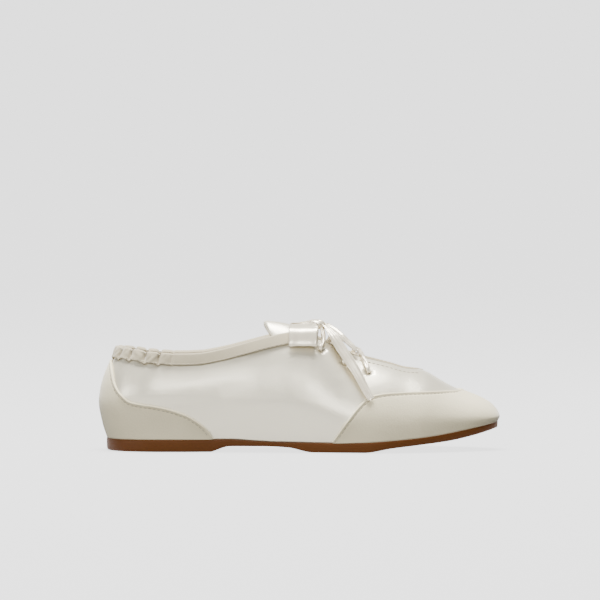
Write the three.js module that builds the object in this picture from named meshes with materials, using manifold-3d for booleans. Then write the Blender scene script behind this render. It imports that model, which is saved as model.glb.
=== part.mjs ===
// A right-foot, lace-up ballet slipper: a satin upper with a gathered, elasticated topline,
// matte overlays at the heel and the toe, a padded tongue, a ribbon tied in a bow and a gum rubber sole.
//
// Units are millimetres. X runs from the heel to the toe, Z is up, and the outside of the foot (lateral)
// is at -Y. Every layer of the upper is an offset of one surface, the outside of the satin, which is
// worked out from a few profiles of the last (the foot form). The profiles are drawn for one size and
// graded by LENGTH, BALL_WIDTH and INSTEP_HEIGHT.
import * as THREE from "three";
import { mergeVertices } from "three/addons/utils/BufferGeometryUtils.js";
import Module from "manifold-3d";

// ---------------------------------------------------------------- driving dimensions
const LENGTH = 247; // of the sole, heel to toe
const BALL_WIDTH = 79.5; // of the feather edge, at its widest
const INSTEP_HEIGHT = 78.5; // floor to the last's ridge at the corner of the throat

const CLEARANCE = 0.3; // between pieces that touch
const SATIN = 0.8; // thickness of each layer
const STIFFENER = 0.8;
const PUFF = 0.6;
const LINING = 0.8;
const OVERLAY = 0.8;
const BOARD = 1.5;
const FILLER = 0.8;
const FOAM = 2.4;
const SOCK = 0.8;
const TONGUE_SATIN = 0.5;
const TONGUE_FOAM = 1.0;
const TONGUE_LINING = 0.5;

const SOLE_EDGE = 1.2; // how far the sole stands out past the satin's feather edge
const LASTING_MARGIN = 11; // of the satin, turned in under the insole board
const SHANK = { width: 13, thickness: FILLER, from: 32, to: 128 };
const FILLER_FROM = 132;
const FILLER_GAP = 2; // between the filler and the lasting margin round it

const BINDING = { height: 8, overlap: 2.5, wall: 0.6, gap: 0.7 }; // the casing sewn round the topline
const ELASTIC = { height: 4, thickness: 1.2, ahead: 46 }; // ahead: how far it reaches along each side

const LACE = 2.2; // the ribbon's diameter where it is bunched up to pass through an eyelet
const LACE_SLACK = { eyelet: 2.4, crossing: 1.4 }; // of an eyelet and of the space for the crossings
const EYELET = {
  diameter: LACE + LACE_SLACK.eyelet,
  xs: [171, 156, 141],
  drops: [8, 7.5, 6], // below the throat's edge
};
const LACE_SPACE = LACE + LACE_SLACK.crossing; // between the lining and the tongue
const TONGUE_END = 109; // where its free end is
const TONGUE_SEAM = 213; // where it is sewn down

const RIBBON = { width: 18, gathered: 6, thickness: 1.0 }; // gathered: its width in the knot
const KNOT = { x: 138, z: 79.4, length: 11, width: 13, height: 6.4 };
const TAIL_WIDTH = 8;

// ---------------------------------------------------------------- grading
const DRAWN = { length: 247, ballWidth: 79.5, instepHeight: 78.5 }; // the size the profiles are drawn in
const gradeX = (x) => x * (LENGTH / DRAWN.length);
const gradeY = (y) => y * (BALL_WIDTH / DRAWN.ballWidth);
const gradeZ = (z) => z * (INSTEP_HEIGHT / DRAWN.instepHeight);

// A smooth curve through [x, y] points that never overshoots them (monotone cubic).
function through(points) {
  const n = points.length;
  const slope = points.slice(1).map(([x, y], i) => (y - points[i][1]) / (x - points[i][0]));
  const tangent = points.map((_, i) => {
    if (i === 0) return slope[0];
    if (i === n - 1) return slope[n - 2];
    const [a, b] = [slope[i - 1], slope[i]];
    return a * b <= 0 ? 0 : (2 * a * b) / (a + b);
  });
  return (x) => {
    if (x <= points[0][0]) return points[0][1];
    if (x >= points[n - 1][0]) return points[n - 1][1];
    const i = points.findIndex(([px]) => px > x) - 1;
    const h = points[i + 1][0] - points[i][0];
    const t = (x - points[i][0]) / h;
    return (
      points[i][1] * (2 * t ** 3 - 3 * t ** 2 + 1) +
      points[i + 1][1] * (3 * t ** 2 - 2 * t ** 3) +
      tangent[i] * h * (t ** 3 - 2 * t ** 2 + t) +
      tangent[i + 1] * h * (t ** 3 - t ** 2)
    );
  };
}

const gradedXY = (points) => through(points.map(([x, y]) => [gradeX(x), gradeY(y)]));
const gradedXZ = (points) => through(points.map(([x, z]) => [gradeX(x), gradeZ(z)]));
const smooth = (t) => THREE.MathUtils.smoothstep(t, 0, 1);

// ---------------------------------------------------------------- the last
const HEEL_X = gradeX(6.4); // the feather edge's ends
const TOE_X = gradeX(252.2);

// A station runs from 0 at the back of the heel to 1 at the tip of the toe, closer together at both ends,
// so that a half-width or a height falls to nothing in a round curve.
const stationX = (s) => HEEL_X + ((TOE_X - HEEL_X) * (1 - Math.cos(Math.PI * s))) / 2;
const stationOf = (x) => Math.acos(1 - (2 * (x - HEEL_X)) / (TOE_X - HEEL_X)) / Math.PI;
const overStations = (points, grade) =>
  through(points.map(([x, y]) => [stationOf(THREE.MathUtils.clamp(gradeX(x), HEEL_X, TOE_X)), grade(y)]));

const featherZ = gradedXZ([
  [85, 7.9], [115, 6.2], [150, 6.0], [170, 6.6], [190, 7.9], [210, 9.9], [230, 13.2], [253, 17.8],
]);
const featherHalf = overStations([
  [0, 0], [9, 12.6], [20, 24.6], [38, 29.4], [52, 29.4], [75, 26.6], [100, 24.4], [115, 25.2],
  [135, 29.6], [155, 35.4], [177, 39.7], [200, 36.6], [215, 31.6], [230, 24.6], [240, 18.6],
  [247, 12.4], [253, 0],
], gradeY);
const bodyHalf = overStations([
  [0, 0], [9, 13.5], [20, 26.0], [38, 31.0], [60, 30.6], [100, 29.4], [135, 33.4], [177, 40.6],
  [200, 37.6], [215, 32.8], [230, 25.8], [240, 19.8], [247, 13.4], [253, 0],
], gradeY);
const centreY = gradedXY([
  [20, 0], [75, -1.2], [115, -4.0], [135, -4.4], [165, -1.5], [200, 2.2], [230, 3.7], [252, 2.6],
]);
const height = overStations([
  [0, 78], [95, 78.4], [109, 79.2], [120, 78.3], [130, 75.8], [139, 72.4], [147, 67.2], [155, 61.4],
  [163, 57.0], [173.5, 53.4], [185, 49.2], [195, 45.0], [206.5, 40.6], [221, 30.2], [231, 23.4],
  [240, 17.6], [247, 11.6], [253, 0],
], gradeZ);
const squareness = gradedXZ([[60, 3.0], [130, 2.5], [165, 2.0], [230, 2.2]]);
const heelLean = through(
  [[8, 0], [17, -2.9], [31, -5.3], [39, -4.3], [48, -1.8], [57, 2.2], [66, 5.6], [86, 9]]
    .map(([z, x]) => [gradeZ(z), gradeX(x)]),
);
const RIDGE_SHIFT = gradeY(3); // how far the ridge sits towards the inside of the foot
const TOE_OVERHANG = 2.2; // how far the toe bulges out over the sole's tip
const SIDE_BULGE_AT = 0.35; // the share of the height by which the side is fully out

const LATERAL = -1; // the sides, by the sign of Y
const MEDIAL = 1;

// A point of the outside of the satin, from its station, its angle (0 at the feather edge, a quarter turn
// at the ridge) and its side.
function lastPoint(station, angle, side) {
  if (station < 0) return lastPoint(-station, angle, -side);
  if (station > 1) return lastPoint(2 - station, angle, -side);
  if (angle > Math.PI / 2) return lastPoint(station, Math.PI - angle, -side);
  const x = stationX(station);
  const rise = Math.sin(Math.max(angle, 0)) ** (2 / squareness(x));
  const half = THREE.MathUtils.lerp(
    featherHalf(station), bodyHalf(station), smooth(rise / SIDE_BULGE_AT),
  );
  const above = rise * height(station);
  const z = featherZ(x) + above;
  const heelShare = 1 - smooth((x - HEEL_X) / gradeX(58));
  const toeShare = smooth((x - gradeX(225)) / gradeX(27));
  return new THREE.Vector3(
    x + heelLean(z) * heelShare + TOE_OVERHANG * toeShare * smooth(above / 4),
    centreY(x) + side * half * Math.cos(angle) + RIDGE_SHIFT * rise ** 3,
    z,
  );
}

// The same point moved along the surface's outward normal.
function offsetPoint(station, angle, side, offset) {
  const step = 2e-3;
  const along = lastPoint(station + step, angle, side).sub(lastPoint(station - step, angle, side));
  const up = lastPoint(station, angle + step, side)
    .sub(lastPoint(station, Math.max(angle - step, 0), side));
  const normal = along.cross(up).multiplyScalar(-side).normalize();
  return lastPoint(station, angle, side).addScaledVector(normal, offset);
}

// The angle at which a station's section is at height z, kept on the surface.
function angleAt(station, z) {
  const x = stationX(station);
  const rise = THREE.MathUtils.clamp((z - featherZ(x)) / height(station), 0, 1);
  return Math.asin(rise ** (squareness(x) / 2));
}

// The angle at which a station meets a line drawn on the side view as z over x.
function angleOnLine(station, line) {
  const gap = (z) => line(lastPoint(station, angleAt(station, z), LATERAL).x) - z;
  let low = featherZ(stationX(station));
  let high = low + height(station);
  if (gap(high) >= 0) return Math.PI / 2;
  for (let i = 0; i < 40; i += 1) {
    const middle = (low + high) / 2;
    if (gap(middle) > 0) low = middle;
    else high = middle;
  }
  return angleAt(station, low);
}

// ---------------------------------------------------------------- lines of the pattern, in side view
const THROAT_BACK = gradeX(139);
const THROAT_FRONT = gradeX(206.5);
const topline = gradedXZ([
  [8, 66.5], [22, 65.2], [33, 63.4], [52, 62.2], [64, 62.6], [78, 65.0], [94, 69.1], [109, 73.0],
  [122, 75.6], [139, 77.0],
]);
const EDGE_BELOW_TOPLINE = BINDING.height - BINDING.overlap;
const throat = gradedXZ([
  [139, 71.5], [147, 67.8], [155, 63.8], [162.7, 60.5], [173.5, 57.6], [185, 54.6], [195, 51.8],
  [206.5, 50.8],
]);
const HEEL_SEAM_FRONT = gradeX(73.2);
const heelSeam = gradedXZ([
  [8.6, 57], [11.5, 43.1], [15.5, 36.6], [21.9, 31.7], [38.8, 28.9], [54.9, 24.3], [67.2, 16.5],
  [73.9, 8.6],
]);
const TOE_SEAM_BACK = gradeX(148.6);
const TOE_SEAM_FRONT = gradeX(230);
const toeSeam = gradedXZ([
  [147.9, 6.8], [156.5, 19.2], [167.1, 31.7], [171.6, 35.2], [184, 37.2], [205, 37.6], [230, 37.3],
]);

// ---------------------------------------------------------------- the layers, as offsets from the satin
const STIFFENER_OUT = -SATIN - CLEARANCE;
const LINING_OUT = STIFFENER_OUT - STIFFENER - CLEARANCE;
const LINING_IN = LINING_OUT - LINING;
const TONGUE_OUT = LINING_IN - LACE_SPACE;
const TONGUE_FOAM_OUT = TONGUE_OUT - TONGUE_SATIN - CLEARANCE;
const TONGUE_LINING_OUT = TONGUE_FOAM_OUT - TONGUE_FOAM - CLEARANCE;
const OVERLAY_OUT = CLEARANCE + OVERLAY;

// Heights above the sole's top.
const MARGIN_Z = CLEARANCE;
const BOARD_Z = MARGIN_Z + SATIN + CLEARANCE;
const FOAM_Z = BOARD_Z + BOARD + CLEARANCE;
const SOCK_Z = FOAM_Z + FOAM + CLEARANCE;
const LINING_Z = FOAM_Z;

// ---------------------------------------------------------------- meshes
const wasm = await Module();
wasm.setup();

const COLOURS = {
  satin: { color: 0xece8dd, roughness: 0.38, metalness: 0 },
  overlay: { color: 0xe3dccb, roughness: 0.85, metalness: 0 },
  lining: { color: 0xe6dcc6, roughness: 0.8, metalness: 0 },
  stiffener: { color: 0xd8d2c4, roughness: 0.9, metalness: 0 },
  board: { color: 0xb59a72, roughness: 0.95, metalness: 0 },
  foam: { color: 0xd9d4c8, roughness: 1, metalness: 0 },
  elastic: { color: 0xe9e6de, roughness: 0.9, metalness: 0 },
  rubber: { color: 0x8a5524, roughness: 0.55, metalness: 0 },
  steel: { color: 0x9a9da1, roughness: 0.35, metalness: 1 },
};
const shoe = new THREE.Group();

function addPiece(name, geometry, finish) {
  const mesh = new THREE.Mesh(geometry, new THREE.MeshStandardMaterial(COLOURS[finish]));
  mesh.name = name;
  shoe.add(mesh);
}

// A closed geometry from a list of triangles: without those that have two corners in one place,
// and turned to face outwards.
function fromTriangles(triangles) {
  const TINY = 1e-3;
  const kept = triangles.filter(
    ([a, b, c]) => a.distanceTo(b) > TINY && b.distanceTo(c) > TINY && c.distanceTo(a) > TINY,
  );
  const volume = kept.reduce((sum, [a, b, c]) => sum + a.dot(b.clone().cross(c)), 0);
  if (volume < 0) kept.forEach((triangle) => triangle.reverse());
  const corners = new Float32Array(kept.flatMap((t) => t.flatMap((p) => [p.x, p.y, p.z])));
  return new THREE.BufferGeometry().setAttribute("position", new THREE.BufferAttribute(corners, 3));
}

const quad = (a, b, c, d) => [[a, b, c], [a, c, d]];

// A closed body from two grids of points, [column][row], one on each side of it.
function sheet(front, back) {
  const end = front.length - 1;
  const top = front[0].length - 1;
  const triangles = [];
  for (let i = 0; i < end; i += 1) {
    for (let k = 0; k < top; k += 1) {
      triangles.push(...quad(front[i][k], front[i + 1][k], front[i + 1][k + 1], front[i][k + 1]));
      triangles.push(...quad(back[i][k], back[i][k + 1], back[i + 1][k + 1], back[i + 1][k]));
    }
    triangles.push(...quad(front[i][0], back[i][0], back[i + 1][0], front[i + 1][0]));
    triangles.push(...quad(front[i][top], front[i + 1][top], back[i + 1][top], back[i][top]));
  }
  for (let k = 0; k < top; k += 1) {
    triangles.push(...quad(front[0][k], front[0][k + 1], back[0][k + 1], back[0][k]));
    triangles.push(...quad(front[end][k], back[end][k], back[end][k + 1], front[end][k + 1]));
  }
  return fromTriangles(triangles);
}

const STATIONS = 25;
const ROWS = 9;

// The evenly spaced stations between two others, with those two.
function stationsBetween(from, to) {
  const all = Array.from({ length: STATIONS + 1 }, (_, i) => i / STATIONS);
  const TOO_CLOSE = 0.01;
  return [from, ...all.filter((s) => s > from + TOO_CLOSE && s < to - TOO_CLOSE), to];
}

// Columns round the heel, from the medial side to the lateral one.
function roundHeel(stations) {
  const behind = stations.filter((s) => s > 0);
  return [
    ...behind.toReversed().map((station) => ({ station, side: MEDIAL })),
    { station: 0, side: LATERAL },
    ...behind.map((station) => ({ station, side: LATERAL })),
  ];
}

// A point of the bottom's edge moved in towards the middle of the sole.
function turnedIn(point, distance) {
  const middle = (HEEL_X + TOE_X) / 2;
  const shrinkX = 1 - distance / (middle - HEEL_X);
  const x = middle + (point.x - middle) * shrinkX;
  const shrinkY = 1 - distance / (BALL_WIDTH / 2);
  const y = centreY(point.x) + (point.y - centreY(point.x)) * shrinkY;
  return new THREE.Vector3(x, y, point.z - featherZ(point.x) + featherZ(x));
}

// ---------------------------------------------------------------- flat pieces of the bottom
// A point of the feather outline moved in (or out, if negative) by a distance, in plan.
function outlinePoint(station, side, inset) {
  const at = (s) => {
    const x = stationX(s);
    const past = s < 0 || s > 1 ? -1 : 1; // beyond an end, the outline comes back on the other side
    return new THREE.Vector2(x, centreY(x) + past * side * featherHalf(1 - Math.abs(1 - Math.abs(s))));
  };
  const step = 1e-3;
  const tangent = at(station + step).sub(at(station - step)).normalize();
  const inward = new THREE.Vector2(tangent.y, -tangent.x).multiplyScalar(side);
  return at(station).addScaledVector(inward, inset);
}

// A slab that follows the sole's top: its outline's inset and its lower and upper heights.
function slab(inset, low, high) {
  const faces = [high, low].map((z) =>
    stationsBetween(0, 1).map((station) =>
      [LATERAL, MEDIAL].map((side) => {
        const p = outlinePoint(station, side, inset);
        return new THREE.Vector3(p.x, p.y, featherZ(p.x) + z);
      }),
    ),
  );
  return sheet(faces[0], faces[1]);
}

// ---------------------------------------------------------------- the bottom
const HEEL_BREAST = { foot: 72, top: 84 }; // the heel's front slopes up from its foot to the waist
const BALL = { from: 136, to: 168 }; // where the tread lies on the ground
const treadZ = gradedXZ([
  [HEEL_BREAST.foot, 0], [HEEL_BREAST.top, 3.5], [105, 3.5], [120, 2.9], [BALL.from, 0], [BALL.to, 0],
  [185, 2.6], [205, 4.8], [222, 6.8], [237, 9.8], [252, 13.8],
]);
const TREAD_INSET = 1.5; // how much narrower the sole is at the ground

function makeOutsole() {
  const corners = [...Object.values(HEEL_BREAST), ...Object.values(BALL)].map((x) => stationOf(gradeX(x)));
  const stations = [...stationsBetween(0, 1), ...corners].sort((a, b) => a - b);
  const across = [-1, -0.5, 0, 0.5, 1];
  const face = (edge, heightOf) =>
    stations.map((station) => {
      const ends = [LATERAL, MEDIAL].map((side) => outlinePoint(station, side, -edge));
      return across.map((share) => {
        const p = ends[0].clone().lerp(ends[1], (share + 1) / 2);
        return new THREE.Vector3(p.x, p.y, heightOf(p.x));
      });
    });
  const top = face(SOLE_EDGE, (x) => featherZ(x));
  const tread = face(SOLE_EDGE - TREAD_INSET, (x) => treadZ(x));
  return sheet(top, tread);
}

// A plate on the sole's top, from the plan of its two long edges.
function plate(edges, low, high) {
  const face = (z) => edges.map((pair) =>
    pair.map((p) => new THREE.Vector3(p.x, p.y, featherZ(p.x) + z)));
  return sheet(face(high), face(low));
}

function makeShank() {
  const half = SHANK.width / 2;
  const [from, to] = [gradeX(SHANK.from), gradeX(SHANK.to)];
  const edges = [];
  for (let i = 0; i <= 24; i += 1) {
    const x = THREE.MathUtils.lerp(from, to, i / 24);
    const roundEnd = Math.min(1, (x - from + 2) / half, (to - x + 2) / half);
    const y = half * Math.sqrt(1 - (1 - roundEnd) ** 2);
    edges.push([LATERAL, MEDIAL].map((side) => new THREE.Vector2(x, centreY(x) + side * y)));
  }
  return plate(edges, MARGIN_Z, MARGIN_Z + SHANK.thickness);
}

function makeFiller() {
  const inset = LASTING_MARGIN + FILLER_GAP;
  const edges = stationsBetween(stationOf(gradeX(FILLER_FROM)), 1).map((station) =>
    [LATERAL, MEDIAL].map((side) => {
      const p = outlinePoint(station, side, 0);
      return turnedIn(new THREE.Vector3(p.x, p.y, 0), inset);
    }));
  return plate(edges, MARGIN_Z, MARGIN_Z + FILLER);
}

addPiece("outsole", makeOutsole(), "rubber");
addPiece("shank", makeShank(), "steel");
addPiece("bottom_filler", makeFiller(), "foam");
addPiece("insole_board", slab(SATIN + 2 * CLEARANCE, BOARD_Z, BOARD_Z + BOARD), "board");
const INSIDE_EDGE = -LINING_IN + 2 * CLEARANCE;
addPiece("insole_foam", slab(INSIDE_EDGE, FOAM_Z, FOAM_Z + FOAM), "foam");
addPiece("sock_lining", slab(INSIDE_EDGE, SOCK_Z, SOCK_Z + SOCK), "lining");

// ---------------------------------------------------------------- cuts
function asSolid(geometry) {
  const bare = new THREE.BufferGeometry().setAttribute("position", geometry.getAttribute("position"));
  if (geometry.index) bare.setIndex(geometry.index);
  const merged = mergeVertices(bare, 1e-4);
  return new wasm.Manifold(new wasm.Mesh({
    numProp: 3,
    vertProperties: merged.getAttribute("position").array,
    triVerts: new Uint32Array(merged.index.array),
  }));
}

// The geometry of a solid's largest piece, which leaves out the crumbs that a cut can make at the tip.
function asGeometry(solid) {
  const pieces = solid.decompose().sort((a, b) => b.volume() - a.volume());
  const { vertProperties, triVerts } = pieces[0].getMesh();
  const geometry = new THREE.BufferGeometry();
  geometry.setAttribute("position", new THREE.BufferAttribute(vertProperties, 3));
  geometry.setIndex(new THREE.BufferAttribute(triVerts, 1));
  return geometry;
}

// A point over (or under) the satin: x, height on the surface, side and distance from the surface.
function surfacePoint(x, z, side, offset) {
  const station = stationOf(x);
  return offsetPoint(station, angleAt(station, z), side, offset);
}

const eyeletAt = (i) => {
  const x = gradeX(EYELET.xs[i]);
  return { x, z: throat(x) - EYELET.drops[i] };
};
const eyelets = EYELET.xs.flatMap((_, i) => [LATERAL, MEDIAL].map((side) => ({ ...eyeletAt(i), side })));

function punched(whole) {
  let solid = whole;
  for (const { x, z, side } of eyelets) {
    const [inner, outer] = [-2, 2].map((reach) => surfacePoint(x, z, side, reach));
    const punch = new THREE.CylinderGeometry(EYELET.diameter / 2, EYELET.diameter / 2, 12, 12);
    const axis = outer.clone().sub(inner).normalize();
    punch.applyQuaternion(new THREE.Quaternion().setFromUnitVectors(new THREE.Vector3(0, 1, 0), axis));
    punch.translate(...inner.add(outer).multiplyScalar(0.5).toArray());
    solid = solid.subtract(asSolid(punch));
  }
  return asGeometry(solid);
}

// The whole last, grown or shrunk by an offset, as a solid that reaches below the feather edge.
const BELOW = 3;
function body(offset) {
  const faces = [LATERAL, MEDIAL].map((side) =>
    stationsBetween(0, 1).map((station) => {
      const column = [];
      for (let k = 0; k <= ROWS; k += 1) {
        const angle = (Math.PI / 2) * (0.35 * (k / ROWS) + 0.65 * (k / ROWS) ** 2);
        column.push(offsetPoint(station, angle, side, offset));
      }
      column[0].z -= BELOW;
      return column;
    }));
  return asSolid(sheet(faces[0], faces[1]));
}

// Everything between two lines of the side view, z over x, right across the shoe.
const FAR = 400;
const BEHIND = -10;
const AHEAD = LENGTH + 20;
function between(lower, upper, from = BEHIND, to = AHEAD) {
  const steps = Math.ceil((to - from) / 5);
  const xs = Array.from({ length: steps + 1 }, (_, i) => from + ((to - from) * i) / steps);
  const outline = [...xs.map((x) => [x, lower(x)]), ...xs.toReversed().map((x) => [x, upper(x)])];
  const shape = new THREE.Shape(outline.map(([x, z]) => new THREE.Vector2(x, z)));
  const prism = new THREE.ExtrudeGeometry(shape, { depth: 2 * FAR, bevelEnabled: false });
  return asSolid(prism.rotateX(Math.PI / 2).translate(0, FAR, 0));
}

const SKY = () => FAR;
const overSole = (lift) => (x) => featherZ(x) + lift;

// ---------------------------------------------------------------- the upper
// The throat's slot, right through in plan, wider than the satin's by a margin all round.
function slot(margin) {
  const STEPS = 14;
  const half = (THROAT_FRONT - THROAT_BACK) / 2;
  const edges = [[], []];
  for (let i = 0; i <= STEPS; i += 1) {
    const x = THROAT_FRONT - half * (1 - Math.cos((Math.PI / 2) * (i / STEPS))) * 2;
    for (const [edge, side] of [[edges[0], LATERAL], [edges[1], MEDIAL]]) {
      const { y } = surfacePoint(x, throat(x), side, 0);
      edge.push(new THREE.Vector2(x + (i === 0 ? margin : 0), y + side * margin));
    }
  }
  edges.forEach((edge) => edge.push(new THREE.Vector2(THROAT_BACK - 8, edge.at(-1).y)));
  const shape = new THREE.Shape([...edges[0], ...edges[1].toReversed()]);
  const prism = new THREE.ExtrudeGeometry(shape, { depth: FAR, bevelEnabled: false });
  return asSolid(prism.translate(0, 0, gradeZ(30)));
}

// The upper: under the topline's casing as far as the throat, and then all but its slot.
const JOIN = 0.05; // overlap of two regions that are joined
function upperRegion(lift) {
  const edge = (x) => topline(x) - EDGE_BELOW_TOPLINE;
  const quarters = between(overSole(lift), edge, BEHIND, THROAT_BACK + JOIN);
  return quarters.add(between(overSole(lift), SKY, THROAT_BACK, AHEAD)).subtract(slot(0));
}
const satinShape = body(0).intersect(upperRegion(MARGIN_Z));
const satinInside = body(-SATIN).intersect(between(overSole(MARGIN_Z + SATIN), SKY));

// The hole that the lasting margin leaves in the satin's bottom.
function marginHole() {
  const edges = stationsBetween(0, 1).map((station) =>
    [LATERAL, MEDIAL].map((side) => {
      const p = outlinePoint(station, side, 0);
      return turnedIn(new THREE.Vector3(p.x, p.y, 0), LASTING_MARGIN);
    }));
  return asSolid(plate(edges, MARGIN_Z - 1, MARGIN_Z + SATIN + 1));
}

addPiece("satin_upper", punched(satinShape.subtract(satinInside).subtract(marginHole())), "satin");

// A layer between two offsets, over part of the side view.
function layer(out, inward, region) {
  return body(out).subtract(body(inward)).intersect(region);
}

addPiece("upper_lining", punched(layer(LINING_OUT, LINING_IN, upperRegion(LINING_Z))), "lining");

const stiffener = (region, thickness = STIFFENER) =>
  layer(STIFFENER_OUT, STIFFENER_OUT - thickness, region);
const counterLine = gradedXZ([[8, 50], [40, 42], [62, 30], [78, 16]]);
const counterRegion = between(overSole(LINING_Z), counterLine, BEHIND, gradeX(78));
addPiece("heel_counter", asGeometry(stiffener(counterRegion)), "stiffener");
const puffRegion = between(overSole(LINING_Z), SKY, gradeX(208));
addPiece("toe_puff", asGeometry(stiffener(puffRegion, PUFF)), "stiffener");

const EYESTAY = { from: 136, to: 198, height: 15 };
const eyestayRegion = between(
  (x) => throat(x) - EYESTAY.height, SKY, gradeX(EYESTAY.from), gradeX(EYESTAY.to),
).subtract(slot(1));
for (const [side, name] of [[LATERAL, "lateral"], [MEDIAL, "medial"]]) {
  const half = new THREE.BoxGeometry(2 * FAR, FAR, 2 * FAR).translate(0, (side * FAR) / 2, 0);
  const stay = stiffener(eyestayRegion).intersect(asSolid(half));
  addPiece(`eyelet_reinforcement_${name}`, punched(stay), "stiffener");
}

const overlay = (region) => asGeometry(layer(OVERLAY_OUT, CLEARANCE, region));
const heelRegion = between(overSole(MARGIN_Z), heelSeam, BEHIND, HEEL_SEAM_FRONT);
addPiece("heel_overlay", overlay(heelRegion), "overlay");
const toeRegion = between(overSole(MARGIN_Z), toeSeam, TOE_SEAM_BACK, TOE_SEAM_FRONT + JOIN)
  .add(between(overSole(MARGIN_Z), SKY, TOE_SEAM_FRONT, AHEAD));
addPiece("toe_overlay", overlay(toeRegion), "overlay");

// ---------------------------------------------------------------- the topline
// A closed loft through sections of the same number of points, with flat ends made of strips:
// the first half of a section's points lies opposite the second half.
function loft(sections) {
  const count = sections[0].length;
  const triangles = [];
  for (let i = 0; i + 1 < sections.length; i += 1) {
    for (let k = 0; k < count; k += 1) {
      const n = (k + 1) % count;
      triangles.push(...quad(sections[i][k], sections[i][n], sections[i + 1][n], sections[i + 1][k]));
    }
  }
  for (const [section, flip] of [[sections[0], true], [sections.at(-1), false]]) {
    for (let k = 0; k < count / 2 - 1; k += 1) {
      const strip = [section[k], section[k + 1], section[count - 2 - k], section[count - 1 - k]];
      triangles.push(...quad(...(flip ? strip.reverse() : strip)));
    }
  }
  return fromTriangles(triangles);
}

// A point of the topline's band: how far below the topline, and its offset from the satin.
function bandPoint({ station, side }, below, offset) {
  const line = (x) => topline(x) - Math.max(below, 0);
  const p = offsetPoint(station, angleOnLine(station, line), side, offset);
  return p.setZ(p.z - Math.min(below, 0));
}

function makeCasing() {
  const outside = BINDING.gap + BINDING.wall;
  const inside = LINING_IN - BINDING.gap - BINDING.wall;
  const columns = roundHeel(stationsBetween(0, stationOf(THROAT_BACK)));
  return loft(columns.map((column) => {
    const at = (below, offset) => bandPoint(column, below, offset);
    const middle = (outside + inside) / 2;
    const outer = [
      at(BINDING.height, outside), at(BINDING.height / 2, outside), at(BINDING.wall, outside),
      at(0, middle + 0.8), at(0, middle - 0.8),
      at(BINDING.wall, inside), at(BINDING.height / 2, inside), at(BINDING.height, inside),
    ];
    const inner = [
      at(BINDING.height, inside + BINDING.wall), at(BINDING.height / 2, inside + BINDING.wall),
      at(2 * BINDING.wall, inside + BINDING.wall), at(BINDING.wall + 0.15, middle - 0.4),
      at(BINDING.wall + 0.15, middle + 0.4), at(2 * BINDING.wall, outside - BINDING.wall),
      at(BINDING.height / 2, outside - BINDING.wall), at(BINDING.height, outside - BINDING.wall),
    ];
    return [...outer, ...inner];
  }));
}

function makeElastic() {
  const middle = (LINING_IN) / 2;
  const columns = roundHeel(stationsBetween(0, stationOf(HEEL_X + ELASTIC.ahead)));
  const highest = BINDING.wall + CLEARANCE;
  const lowest = highest + ELASTIC.height;
  return loft(columns.map((column) => [
    bandPoint(column, lowest, middle + ELASTIC.thickness / 2),
    bandPoint(column, highest, middle + ELASTIC.thickness / 2),
    bandPoint(column, highest, middle - ELASTIC.thickness / 2),
    bandPoint(column, lowest, middle - ELASTIC.thickness / 2),
  ]));
}

addPiece("topline_casing", makeCasing(), "satin");
addPiece("topline_elastic", makeElastic(), "elastic");

// ---------------------------------------------------------------- the tongue
const tongueHalf = gradedXY([
  [109, 10.5], [111, 15], [115, 17.5], [123, 18.5], [140, 18], [156, 15], [171, 14.5], [190, 14],
  [213, 10],
]);
const TONGUE_FLARE = 2.6; // how much the free end lifts away from the foot
const SEAM_GAP = 0.8; // between the tongue and the lining where they are sewn together
const TONGUE_RISE = 193; // from here on it comes up to its seam

function tongueLift(x, share) {
  const free = smooth((THROAT_BACK - x) / (THROAT_BACK - gradeX(TONGUE_END)));
  const sewn = smooth((x - gradeX(TONGUE_RISE)) / gradeX(TONGUE_SEAM - TONGUE_RISE));
  return TONGUE_FLARE * free * (1 - 0.8 * share ** 2) + (LACE_SPACE - SEAM_GAP) * sewn;
}

function tongueLayer(out, thickness) {
  const from = stationOf(gradeX(TONGUE_END));
  const to = stationOf(gradeX(TONGUE_SEAM));
  const faces = [out, out - thickness].map((offset) =>
    stationsBetween(from, to).map((station) => {
      const x = stationX(station);
      return [-1, -0.75, -0.5, -0.25, 0, 0.25, 0.5, 0.75, 1].map((share) => {
        const reach = Math.abs(share) * tongueHalf(x);
        const angle = Math.acos(reach / bodyHalf(station));
        return offsetPoint(station, angle, share < 0 ? LATERAL : MEDIAL, offset + tongueLift(x, share));
      });
    }));
  return sheet(faces[0], faces[1]);
}

addPiece("tongue", tongueLayer(TONGUE_OUT, TONGUE_SATIN), "satin");
addPiece("tongue_foam", tongueLayer(TONGUE_FOAM_OUT, TONGUE_FOAM), "foam");
addPiece("tongue_lining", tongueLayer(TONGUE_LINING_OUT, TONGUE_LINING), "lining");

// ---------------------------------------------------------------- the ribbon
const RIDE = CLEARANCE + LACE / 2; // the lace's centre over the satin
const UNDER = LINING_IN - LACE_SPACE / 2; // and between the lining and the tongue
const knotCentre = new THREE.Vector3(
  gradeX(KNOT.x), centreY(gradeX(KNOT.x)) + RIDGE_SHIFT, gradeZ(KNOT.z),
);

// Points of the lace about one eyelet, from below the lining to the top of the satin.
function throughEyelet(i, side) {
  const { x, z } = eyeletAt(i);
  return [UNDER, LINING_IN / 2, RIDE].map((offset, step) =>
    surfacePoint(x + (1 - step) * 0.5, z, side, offset));
}

// One crossing: from the top of an eyelet, over its edge, across, and under to the next eyelet opposite.
function crossing(from, to, side, middleOffset) {
  const over = surfacePoint(from - 4, throat(from - 4) - 1, side, RIDE + 0.25);
  const middle = lastPoint(stationOf((from + to) / 2), Math.PI / 2, side);
  middle.z += middleOffset;
  const inside = surfacePoint(to + 5.5, throat(to + 5.5) + 1.5, -side, UNDER + 0.8);
  const under = surfacePoint(to + 3.5, throat(to + 3.5) - 3.4, -side, UNDER);
  return [over, middle, inside, under];
}

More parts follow.
